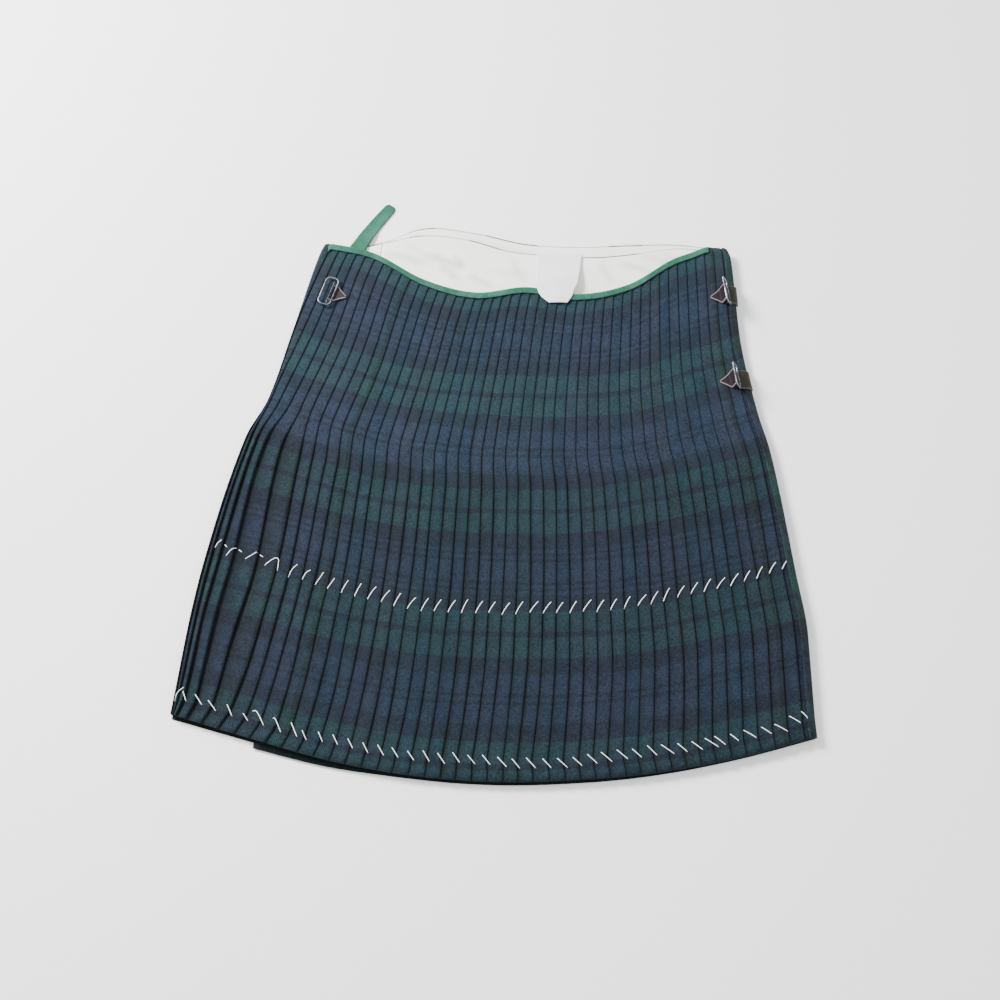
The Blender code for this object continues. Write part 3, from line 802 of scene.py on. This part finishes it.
def lining(name, node, stations, waistY, z, creases):
    # From just inside an apron's waist edge down to its end under the back
    end = tapePlace + (hipPlace - tapePlace) * apron["liningEnd"]
    place = np.concatenate((np.linspace(0, tapePlace, 30, endpoint=False),
                            np.linspace(tapePlace, end, 12)))
    level = levelsAt(place)
    x = stations(level)
    share = np.linspace(0, 1, x.shape[1])[None]
    middle = (x[:, :1] + x[:, -1:]) / 2
    x = middle + (x - middle) * (1 - 2 * liningInset / (x[:, -1:] - x[:, :1]))
    zero = (0,) * 9
    y = apronY(level, x, waistY, share if name.startswith("under") else shareOf(level, x), zero,
               share)
    clear = smoothStep(0, 0.25, 1 - place / tapePlace)[:, None]
    lift = creaseLift(x, y, creases) * clear
    piece = addCloth(name, stacked(x, y, z + lift), stacked(x + 300, y), clothSizes["lining"],
                     "cotton", [node])
    # Painted shade on one side of each crease, a little less on its crest
    beside = creaseLift(x - 3.0, y + 3.0, creases) * clear
    addShade(piece, np.clip(0.20 * beside - 0.06 * lift, 0, 0.3))
    return piece


def overStations(level):
    stop = level["right"] - clothSizes["rightRoll"]
    return level["left"] + (stop - level["left"]) * np.linspace(0, 1, apron["liningColumns"])[None]


def underLiningStations(level):
    return underStations(level, apron["liningColumns"])


overLiningZ = clothSizes["apron"] + clothSizes["seam"] + clothSizes["lining"] / 2
underLiningZ = 2 * clothSizes["apron"] + 3 * clothSizes["seam"] + clothSizes["lining"] * 1.5
overLining = lining("over_lining", "over_apron_lining", overStations, apron["overWaistY"],
                    overLiningZ, overCreases)
underLining = lining("under_lining", "under_apron_lining", underLiningStations,
                     apron["underWaistY"], underLiningZ, underCreases)


# Where the black of each bound edge shows: from x, to x, how much of it
overBlack = ((-176, -150, 0.9), (-118, -84, 0.85), (-84, -20, 0.32), (-18, 47, 0.95),
             (47, 136, 0.15), (138, 180, 1.0), (180, 245, 0.38))
underBlack = ((-118, -97, 0.45), (-97, -40, 0.2), (-38, -1, 1.0), (-1, 52, 0.4),
              (106, 179, 0.6), (179, 240, 0.25))


def blackAt(x, stretches):
    total = np.zeros_like(x)
    for start, stop, amount in stretches:
        total += amount * smoothStep(start - 3, start + 3, x) * smoothStep(stop + 3, stop - 3, x)
    return np.clip(total, 0, 1)


def edgeBinding(name, node, x, y, low, high, stretches):
    # A narrow folded tape round an apron's waist edge: a flattened ring along the edge
    angle = np.linspace(0, 2 * math.pi, 12, endpoint=False)
    reach, rise = apron["edgeBar"] / 2, (high - low) / 2
    middleY = y + clothSizes["seam"] + reach
    ringY = middleY[:, None] + reach * np.sign(np.cos(angle)) * np.abs(np.cos(angle)) ** 0.6
    ringZ = (low + high) / 2 + rise * np.sign(np.sin(angle)) * np.abs(np.sin(angle)) ** 0.6
    points = stacked(x[:, None], ringY, ringZ)
    uv = stacked(x[:, None] + 0 * angle, angle * 2)
    sides = len(angle)
    ends = np.stack((np.arange(sides)[::-1], (len(x) - 1) * sides + np.arange(sides)))
    piece = addPiece(name, points.reshape(-1, 3),
                     [gridFaces(len(x), sides, True)[:, ::-1], ends], uv.reshape(-1, 2), "tape",
                     [node], "edge")
    addShade(piece, np.repeat(blackAt(x, stretches), sides))
    return piece


waistLevel = levelsAt(np.zeros(1))
overX = overStations(waistLevel)[0, 5:]
overY = throughEven(apron["overWaistY"], shareOf(waistLevel, overX)[0])
underX = underLiningStations(waistLevel)[0]
underY = throughEven(apron["underWaistY"], np.linspace(0, 1, apron["liningColumns"]))
edgeBinding("over_edge_tape", "over_apron_binding", overX, overY, 0.1,
            overLiningZ + clothSizes["lining"] / 2, overBlack)
edgeBinding("under_edge_tape", "under_apron_binding", underX, underY,
            underLiningZ - clothSizes["lining"] / 2 - clothSizes["seam"] - clothSizes["apron"],
            underLiningZ + clothSizes["lining"] / 2, underBlack)
print("linings and bound edges made")


# Waist binding of the back

def waistBinding():
    # Tape folded over the edge: a lower leg, a half round outside the edge and an upper leg,
    # puckered a little at each pleat
    start = levelTable["left"][0] + clothSizes["leftRoll"] - 1
    stop = apron["tapeEnd"]
    x = np.linspace(start, stop, 420)[:, None]
    edge = throughEven(levelTable["y"][0], shareOf(waistLevel, x)) + waistRise(waistLevel, x)
    ends = np.clip((start + apron["tapeCorner"] - x) / apron["tapeCorner"], 0, 1)
    edge = edge - apron["tapeCorner"] * (1 - np.sqrt(1 - 0.999 * ends ** 2))
    tape, seam = clothSizes["tape"], clothSizes["seam"]
    low = levelTable["rests"][0] - seam - tape / 2
    high = backTop(waistLevel, x) + seam + tape / 2
    pucker = 0.16 * np.sin(2 * math.pi * x / 12.1) + 0.1 * np.sin(x / 7.3)
    legs = np.linspace(-apron["bindingDepth"], -1.5, 7)[None]
    angle = np.radians(np.linspace(78, -78, 9))[None]
    out = 0.8 + tape / 2
    roundY = -1.5 + (out + 1.5) * np.cos(angle)
    roundZ = (high + low) / 2 + (high - low) / 2 * np.sin(angle)
    y = np.concatenate((edge + legs, edge + roundY, edge + legs[:, ::-1]), axis=1)
    z = np.concatenate((high + pucker * (legs < -2), roundZ, np.full_like(high + legs, low)),
                       axis=1)
    piece = addCloth("waist_tape", stacked(x, y, z), stacked(x, runOf(y, z)), tape, "tape",
                     ["waist_binding"])
    # Painted shade along the lower edge of the tape's upper leg
    edgeShade = np.concatenate((0.5 * (legs < -apron["bindingDepth"] + 0.5), 0 * roundY[:1],
                          0 * legs), axis=1)
    addShade(piece, edgeShade + 0 * x)
    return piece


waistTape = waistBinding()

# The loose tab from its seam to its end: its middle line and half width
tabStations = dict(
    x=(-186, -181, -175.5, -169.5, -162.5, -153.5, -146, -141.5, -139.2),
    y=(331, 340, 350, 361, 373, 386, 396, 402.5, 406),
    z=(5.1, 5.0, 4.5, 3.3, 1.2, 0.70, 0.70, 0.70, 0.70),
    half=(10.2, 10.0, 9.4, 8.9, 8.5, 8.2, 7.8, 7.2, 4.2),
)
tab = dict(wall=1.1, curl=0.35, length=92)


def tapeTab():
    # A ribbon along its middle line, with a shallow curl across and a rounded end
    t = np.linspace(0, 1, 48)
    route = np.stack([throughEven(tabStations[k], t) for k in "xyz"], axis=1)
    half = throughEven(tabStations["half"], t)[:, None]
    along = np.gradient(route[:, :2], axis=0)
    along /= np.linalg.norm(along, axis=1)[:, None]
    across = np.linspace(-1, 1, 11)[None]
    x = route[:, :1] - along[:, 1:] * half * across
    y = route[:, 1:2] + along[:, :1] * half * across
    z = route[:, 2:] + tab["curl"] * across ** 2 * smoothStep(0, 0.4, t)[:, None]
    grid = stacked(x, y, z)
    uv = stacked(t[:, None] * tab["length"], half * across)
    return addCloth("loose_tape", grid, uv, tab["wall"], "tape", ["tape_tab"])


looseTape = tapeTab()

# The label from its seam down: y, both edges, and its rise from the lining to the pleats
labelStations = dict(
    y=(331, 318, 305, 294, 286, 276, 267, 258),
    left=(47, 46, 45, 45, 45, 47, 51, 61),
    right=(105, 103, 101, 99, 98, 93, 90, 84),
    lift=(0.0, 0.13, 0.5, 0.91, 1.03, 1.03, 1.03, 0.98),
)
labelCloth = dict(wall=0.5, seat=0.5, roll=0.8, length=76, overX=75.0)


def bareLabel():
    # From its seam on the lining over the tape onto the pleats, with a soft roll across
    t = np.linspace(0, 1, 60)[:, None]
    y, left, right, lift = (throughEven(labelStations[k], t[:, 0])[:, None] for k in labelStations)
    low = underLiningZ + clothSizes["lining"] / 2 + clothSizes["seam"] + labelCloth["seat"]
    overTape = 2 * clothSizes["seam"] + clothSizes["tape"] + labelCloth["seat"]
    high = backTop(waistLevel, np.full((1, 1), labelCloth["overX"])) + overTape
    across = np.linspace(0, 1, 25)[None]
    x = left + (right - left) * across
    roll = labelCloth["roll"] * np.sin(math.pi * across) * smoothStep(0.05, 0.5, t)
    z = low + (high - low) * lift + roll
    grid = stacked(x, y + 0 * x, z)
    uv = stacked(x, t * labelCloth["length"])
    return addCloth("bare_label", grid, uv, labelCloth["wall"], "label", ["care_label"])


label = bareLabel()
print("tape and label made")


# Buckles with their leather, and the two straps

buckles = dict(width=16.0, wire=1.6, rod=1.0, bar=0.9, barOffset=3.0, chape=2.0,
               chapeHalf=10.0, chapePoint=13.0, seat=1.3, barDark=0.55, sides=16)
buckleRows = (
    dict(name="left", x=-214.0, y=273.5, lift=2.3, length=38.0, turn=-18.0, tilt=0.0, side=1,
         corner=5.5),
    dict(name="upper_right", x=281.0, y=268.5, lift=4.8, length=33.0, turn=7.0, tilt=65.0, side=-1,
         corner=2.6),
    dict(name="lower_right", x=286.5, y=152.5, lift=4.8, length=31.0, turn=7.0, tilt=65.0, side=-1,
         corner=2.6),
)


def placeThrough(x, y):
    # Distance from the waist of the level that passes through a place
    tries = np.linspace(0, hemPlace, 2000)
    level = levelsAt(tries)
    found = levelY(level, np.full((len(tries), 1), x))[:, 0]
    return float(np.interp(-y, -found, tries))


def pleatsTop(x, y):
    level = levelsAt(np.array([placeThrough(x, y)]))
    return float(backTop(level, np.array([[x]]))[0, 0])


def buckleAxes(row):
    # Rotation and centre of a frame: turned about Z, tilted about its long axis
    turn, tilt = math.radians(row["turn"]), math.radians(row["tilt"])
    spin = np.array([[math.cos(turn), -math.sin(turn), 0],
                     [math.sin(turn), math.cos(turn), 0], [0, 0, 1]])
    lean = np.array([[math.cos(tilt), 0, math.sin(tilt)], [0, 1, 0],
                     [-math.sin(tilt), 0, math.cos(tilt)]])
    rise = row["lift"] + buckles["width"] / 2 * math.sin(tilt)
    z = pleatsTop(row["x"], row["y"]) + clothSizes["seam"] + buckles["wire"] + rise
    return spin @ lean, np.array([row["x"], row["y"], z])


def buckleFrame(row):
    # A round wire along a rectangle with arcs at its corners, and a straight bar across
    axes, centre = buckleAxes(row)
    corner = row["corner"]
    a = np.radians(np.linspace(0, 90, 9))
    quarter = np.stack((np.cos(a), np.sin(a)), axis=1) * corner
    arcs = []
    for turn, sideX, sideY in ((0, 1, 1), (1, -1, 1), (2, -1, -1), (3, 1, -1)):
        q = turn * math.pi / 2
        arcX = math.cos(q) * quarter[:, 0] - math.sin(q) * quarter[:, 1]
        arcY = math.sin(q) * quarter[:, 0] + math.cos(q) * quarter[:, 1]
        arcs.append(np.stack((arcX + sideX * (buckles["width"] / 2 - corner),
                              arcY + sideY * (row["length"] / 2 - corner)), axis=1))
    loop = np.concatenate(arcs)
    count, sides = len(loop), buckles["sides"]
    tangent = np.roll(loop, -1, axis=0) - np.roll(loop, 1, axis=0)
    tangent /= np.linalg.norm(tangent, axis=1)[:, None]
    outward = np.stack((tangent[:, 1], -tangent[:, 0]), axis=1)
    angle = np.linspace(0, 2 * math.pi, sides, endpoint=False)
    flat = loop[:, None] + outward[:, None] * (np.cos(angle) * buckles["rod"])[None, :, None]
    up = np.broadcast_to(np.sin(angle) * buckles["rod"], (count, sides))
    points = np.concatenate((flat, up[..., None]), axis=2).reshape(-1, 3)
    index = np.pad(np.arange(count * sides).reshape(count, sides), (0, 1), "wrap")
    cell = (index[:-1, :-1], index[:-1, 1:], index[1:, 1:], index[1:, :-1])
    faces = np.stack(cell, axis=-1).reshape(-1, 4)
    barX = buckles["barOffset"] * row["side"]
    barY = np.linspace(-1, 1, 9) * (row["length"] - 1.5) / 2
    path = np.stack((np.full(9, barX), barY, np.zeros(9)), axis=1)
    barPoints, barFaces, barUv = tubes(path[None], buckles["bar"], 12)
    both = np.concatenate((points, barPoints)) @ axes.T + centre
    offset = len(points)
    uv = np.concatenate((np.zeros((offset, 2)), barUv))
    piece = addPiece(row["name"] + "_frame", both,
                     [faces, barFaces[0] + offset, barFaces[1] + offset], uv, "metal",
                     [row["name"] + "_buckle"])
    # Painted shade on the bar
    addShade(piece, buckles["barDark"] * (np.arange(len(both)) >= offset))
    return piece


def leatherGrid(name, node, middle, along, stations, half, thickness, slotName):
    # A strip of leather: across each station of its middle line, with its distance from the
    # nearest edge as the first flat coordinate
    across = np.linspace(-1, 1, 13)[None]
    wide = half[:, None] * across
    x = middle[:, :1] + along[0] * wide
    y = middle[:, 1:2] + along[1] * wide
    z = middle[:, 2:] + 0 * wide
    fromEdge = half[:, None] * (1 - np.abs(across))
    uv = stacked(fromEdge, stations[:, None] + 0 * across)
    return addCloth(name, stacked(x, y, z), uv, thickness, slotName, [node], 0.35)


def chape(row):
    # The pointed leather that carries a frame, up to its bar where the frame stands on edge
    centre = buckleAxes(row)[1]
    turn, tilt = math.radians(row["turn"]), math.radians(row["tilt"])
    out = np.array([math.cos(turn), math.sin(turn)]) * row["side"]
    along = np.array([-math.sin(turn), math.cos(turn)])
    along = along * row["side"]
    flat = pleatsTop(row["x"], row["y"]) + clothSizes["seam"] + buckles["chape"] / 2
    near = buckles["width"] / 2 * math.cos(tilt) + buckles["wire"] + clothSizes["seam"]
    barZ = centre[2] + buckles["barOffset"] * math.sin(tilt)
    top = barZ - buckles["seat"] - 2 * clothSizes["seam"] if tilt else flat
    reach = np.array([buckles["barOffset"] * math.cos(tilt) + 0.5, near - 1.5, near,
                      near + 0.45 * buckles["chapePoint"], near + buckles["chapePoint"]])
    height = np.array([top, flat + 0.35 * (top - flat), flat, flat, flat])
    part = np.array([1.0, 1.0, 1.0, 0.55, 0.12])
    fine = np.linspace(reach[0], reach[-1], 22)
    middle = np.concatenate((centre[:2] + out * fine[:, None],
                             np.interp(fine, reach, height)[:, None]), axis=1)
    half = buckles["chapeHalf"] * np.interp(fine, reach, part)
    name = row["name"]
    return leatherGrid(name + "_leather", name + "_chape", middle, -along, fine, half,
                       buckles["chape"] - 0.2, "leather")


for row in buckleRows:
    buckleFrame(row)
    chape(row)
print("buckles made")

straps = dict(half=12.0, thickness=2.2, end=5.0)
strapPlaces = dict(upper_strap=269.0, lower_strap=152.0)


def strap(name, middleY):
    # Round the turned-up apron edge on the same ellipse, a seam and half a strap outside it
    across = np.linspace(-1, 1, 15)
    y = middleY + straps["half"] * across
    place = np.array([placeThrough(290.0, v) for v in y])
    level = levelsAt(place)
    outset = -clothSizes["seam"] - straps["thickness"] / 2
    degrees = np.linspace(-15, 90, 22)[None]
    x, z = rightTurn(level, outset, degrees)
    x = np.concatenate((x, x[:, -1:] - np.linspace(0, straps["end"], 5)[None, 1:]), axis=1)
    z = np.concatenate((z, np.repeat(z[:, -1:], 4, axis=1)), axis=1)
    grid = stacked(x, y[:, None], z).transpose(1, 0, 2)[:, ::-1]
    fromEdge = straps["half"] * (1 - np.abs(across[::-1]))[None]
    uv = stacked(fromEdge, np.linspace(0, 40, grid.shape[0])[:, None] + 0 * fromEdge)
    return addCloth(name + "_leather", grid[::-1], uv, straps["thickness"] - 0.2, "strap",
                    [name], 0.35)


for name, middleY in strapPlaces.items():
    strap(name, middleY)
print("straps made")


# Tacking: one white stitch a pleat in two rows, and a few loose loops at the left

tacking = dict(radius=0.47, sides=8, stations=13, sink=1.6, middleWide=9.6, middleTall=15.5,
               hemTall=(12.5, 9.5), hemWide=(5.5, 14.0))
# Lines of the two rows, and between which x their stitches are even
middleSpan = (-185, 345)
hemSpan = (-224, 236)
middleRow = ((-322, -80), (-301, -74), (-280, -80), (-263, -87), (-239, -93), (-208, -104),
             (-178, -112), (-137, -123), (-96, -132), (-49, -135), (11, -137), (73, -136),
             (120, -133), (152, -129), (198, -118), (231, -110), (278, -100), (308, -89),
             (335, -80))
hemRow = ((-353, -239), (-336, -244), (-321, -250), (-301, -255), (-285, -262), (-267, -264),
          (-247, -272), (-228, -277), (-213, -284), (-195, -285), (-147, -297), (-95, -306),
          (-44, -308), (21, -314), (69, -313), (119, -307), (171, -300), (225, -294),
          (275, -282), (310, -275), (339, -262))


def surfaceAt(x, y):
    # Height of the pleats' faces at places: the row through each place, then its pleat
    x, y = np.asarray(x, float), np.asarray(y, float)
    rowsY = levelY(backLevel, np.broadcast_to(x.ravel(), (back["rows"], x.size)))
    r = np.clip((rowsY > y.ravel()).sum(axis=0), 0, back["rows"] - 1)
    rowEdges = edges[r]
    i = np.clip((rowEdges < x.ravel()[:, None]).sum(axis=1), 1, back["folds"] - 1)
    pick = np.arange(x.size)
    before, edge = rowEdges[pick, i - 1], rowEdges[pick, i]
    low = foldTop[r, i - 1] - 2 * layers[r, i - 1]
    t = np.clip((x.ravel() - before) / (edge - before), 0, 1)
    z = faceHeight(low, foldTop[r, i], crowns[r, i], t) + back["wall"] / 2
    return z.reshape(x.shape)


def onCloth(pixels):
    # Where the camera's rays through places in the photo's frame meet the pleats
    px, py = np.array(pixels, float).T
    angle = math.radians(view["elevation"])
    focal = view["lens"] / view["sensor"] * view["image"]
    right, up = px - view["image"] / 2, view["image"] / 2 - py
    ray = np.stack((right, up * math.sin(angle) + focal * math.cos(angle),
                    up * math.cos(angle) - focal * math.sin(angle)))
    eye = view["distance"] * np.array((0, -math.cos(angle), math.sin(angle)))
    z = np.full(len(px), 14.0)
    for _ in range(4):
        x, y = (eye[:, None] + ray * (z - eye[2]) / ray[2])[:2]
        z = surfaceAt(x, y)
    return x, y


def tautOver(ground):
    # Height of a tight thread over the cloth: at each station the highest of all straight
    # spans between two stations, one at or before it and one at or after it
    n = ground.shape[1]
    a, b, at = np.meshgrid(np.arange(n), np.arange(n), np.arange(n), indexing="ij")
    share = (at - a) / np.maximum(b - a, 1)
    span = ground[:, a] * (1 - share) + ground[:, b] * share
    return np.where((a <= at) & (at <= b), span, -1e9).max(axis=(1, 2))


def addThreads(name, px, py):
    # Threads along flat paths, tight over the cloth, with both ends drawn into it
    t = np.linspace(-1, 1, px.shape[1])
    z = tautOver(surfaceAt(px, py)) + tacking["radius"] * 0.9
    z = z - tacking["sink"] * smoothStep(0.86, 1.0, np.abs(t))
    points, faces, uv = tubes(np.stack((px, py, z), axis=2), tacking["radius"], tacking["sides"])
    return addPiece(name, points, faces, uv, "cotton", [], "thread")


def foldPlaces(line, low, high):
    # Where the fold edges cross a row of stitches, between two places along it
    lineX, lineY = np.array(line, float).T
    found = []
    for i in range(back["folds"]):
        foldY = levelY(backLevel, edges[:, i:i + 1])[:, 0]
        gap = foldY - np.interp(edges[:, i], lineX, lineY)
        found.append(np.interp(0, -gap, edges[:, i]))
    found = np.array(found)
    x = found[(found > low) & (found < high)]
    return x, np.interp(x, lineX, lineY) + draw.normal(0, 0.6, len(x))


def middleStitches():
    # One stitch a pleat, from the dark line beside its fold up and right over the next face,
    # bending to the right at its top
    x, y = foldPlaces(middleRow, *middleSpan)
    t = np.linspace(0, 1, tacking["stations"])[None]
    wide = tacking["middleWide"] * draw.uniform(0.82, 1.12, len(x))[:, None]
    tall = tacking["middleTall"] * draw.uniform(0.85, 1.08, len(x))[:, None]
    px = x[:, None] + 0.5 + wide * (0.66 * t + 0.34 * t ** 2)
    addThreads("tacking_middle", px, y[:, None] + tall * (t - 0.5))


def hemStitches():
    # One stitch a pleat, from its face across the fold down to the next, leaning more to the right
    x, y = foldPlaces(hemRow, *hemSpan)
    t = np.linspace(0, 1, tacking["stations"])[None]
    share = ((x - hemSpan[0]) / (hemSpan[1] - hemSpan[0]))[:, None]
    wide = np.interp(share, (0, 1), tacking["hemWide"]) * draw.uniform(0.85, 1.15, share.shape)
    tall = np.interp(share, (0, 1), tacking["hemTall"]) * draw.uniform(0.88, 1.12, share.shape)
    addThreads("tacking_hem", x[:, None] + wide * (t - 0.5), y[:, None] - tall * (t - 0.5))


def threadsByHand(name, paths):
    # Threads through two to five places each, given in the photo's frame
    fine = np.linspace(0, 1, tacking["stations"])
    flat = [np.stack([throughEven(axis, fine) for axis in onCloth(path)]) for path in paths]
    px, py = np.array(flat).transpose(1, 0, 2)
    addThreads(name, px, py)


# Loose loops and uneven stitches at the sides, in pixels of the photo
loops = (
    ((215, 548), (218, 543), (223, 541)), ((225, 545), (227, 547)),
    ((226, 556), (231, 550), (237, 548)), ((239, 550), (242, 552)),
    ((245, 559), (252, 555), (258, 553)), ((260, 555), (263, 557)),
    ((264, 566), (270, 561), (276, 558), (279, 561), (277, 572)),
    ((288, 578), (292, 570), (298, 564)), ((302, 580), (306, 573), (311, 570)),
    ((315, 585), (324, 572)), ((327, 589), (335, 578)),
)
sideStitches = (
    ((184, 687), (178, 694), (175, 703)), ((183, 691), (186, 701)), ((195, 694), (202, 705)),
    ((208, 700), (216, 711)), ((227, 704), (232, 716)), ((243, 713), (248, 721)),
    ((252.5, 711), (257, 712), (264, 726)), ((273, 718), (276, 720), (281, 733)),
    ((291, 722), (297, 737)), ((714, 736), (726, 745)), ((730, 734), (739, 741)),
    ((743, 730), (757, 738)), ((761, 727), (772, 734)), ((774, 724), (788, 732)),
    ((789, 716), (801, 723)), ((801, 711), (808, 719), (809, 730)),
)
middleStitches()
hemStitches()
threadsByHand("tacking_loops", loops)
threadsByHand("tacking_sides", sideStitches)
print("tacking made")


# Floor, light and camera

stage = dict(size=6.0, colour=(0.95, 0.95, 0.95, 1), below=0.0002)
floorMesh = bpy.data.meshes.new("floor")
reach = stage["size"] / 2
corners = [(x * reach, y * reach, -stage["below"]) for x, y in ((-1, -1), (1, -1), (1, 1), (-1, 1))]
floorMesh.from_pydata(corners, [], [(0, 1, 2, 3)])
floorLook = Graph("floor", Roughness=0.9, Specular_IOR_Level=0.1)
floorLook.feed("Base Color", stage["colour"])
floorMesh.materials.append(floorLook.material)
floor = bpy.data.objects.new("floor", floorMesh)
bpy.context.scene.collection.objects.link(floor)

lamps = (
    dict(name="key", at=(-1.75, 1.15, 1.6), size=0.8, watts=210, colour=(1.0, 0.99, 0.97)),
    dict(name="fill", at=(0.6, -0.4, 3.0), size=2.2, watts=50, colour=(0.97, 0.98, 1.0)),
)


def addLamp(lamp):
    light = bpy.data.lights.new(lamp["name"], "AREA")
    light.energy = lamp["watts"]
    light.size = lamp["size"]
    light.color = lamp["colour"]
    holder = bpy.data.objects.new(lamp["name"], light)
    bpy.context.scene.collection.objects.link(holder)
    holder.location = lamp["at"]
    x, y, z = lamp["at"]
    holder.rotation_euler = (math.atan2(math.hypot(x, y), z), 0, math.atan2(x, -y))


for lamp in lamps:
    addLamp(lamp)
world = bpy.data.worlds.new("room")
world.use_nodes = True
world.node_tree.nodes["Background"].inputs["Color"].default_value = (0.95, 0.97, 1.0, 1)
world.node_tree.nodes["Background"].inputs["Strength"].default_value = 0.9
bpy.context.scene.world = world

cameraData = bpy.data.cameras.new("camera")
cameraData.lens = view["lens"]
cameraData.sensor_width = view["sensor"]
camera = bpy.data.objects.new("camera", cameraData)
bpy.context.scene.collection.objects.link(camera)
rise = math.radians(view["elevation"])
camera.location = (0, -view["distance"] * mm * math.cos(rise),
                   view["distance"] * mm * math.sin(rise))
camera.rotation_euler = (math.pi / 2 - rise, 0, 0)
bpy.context.scene.camera = camera
print("floor, light and camera made")
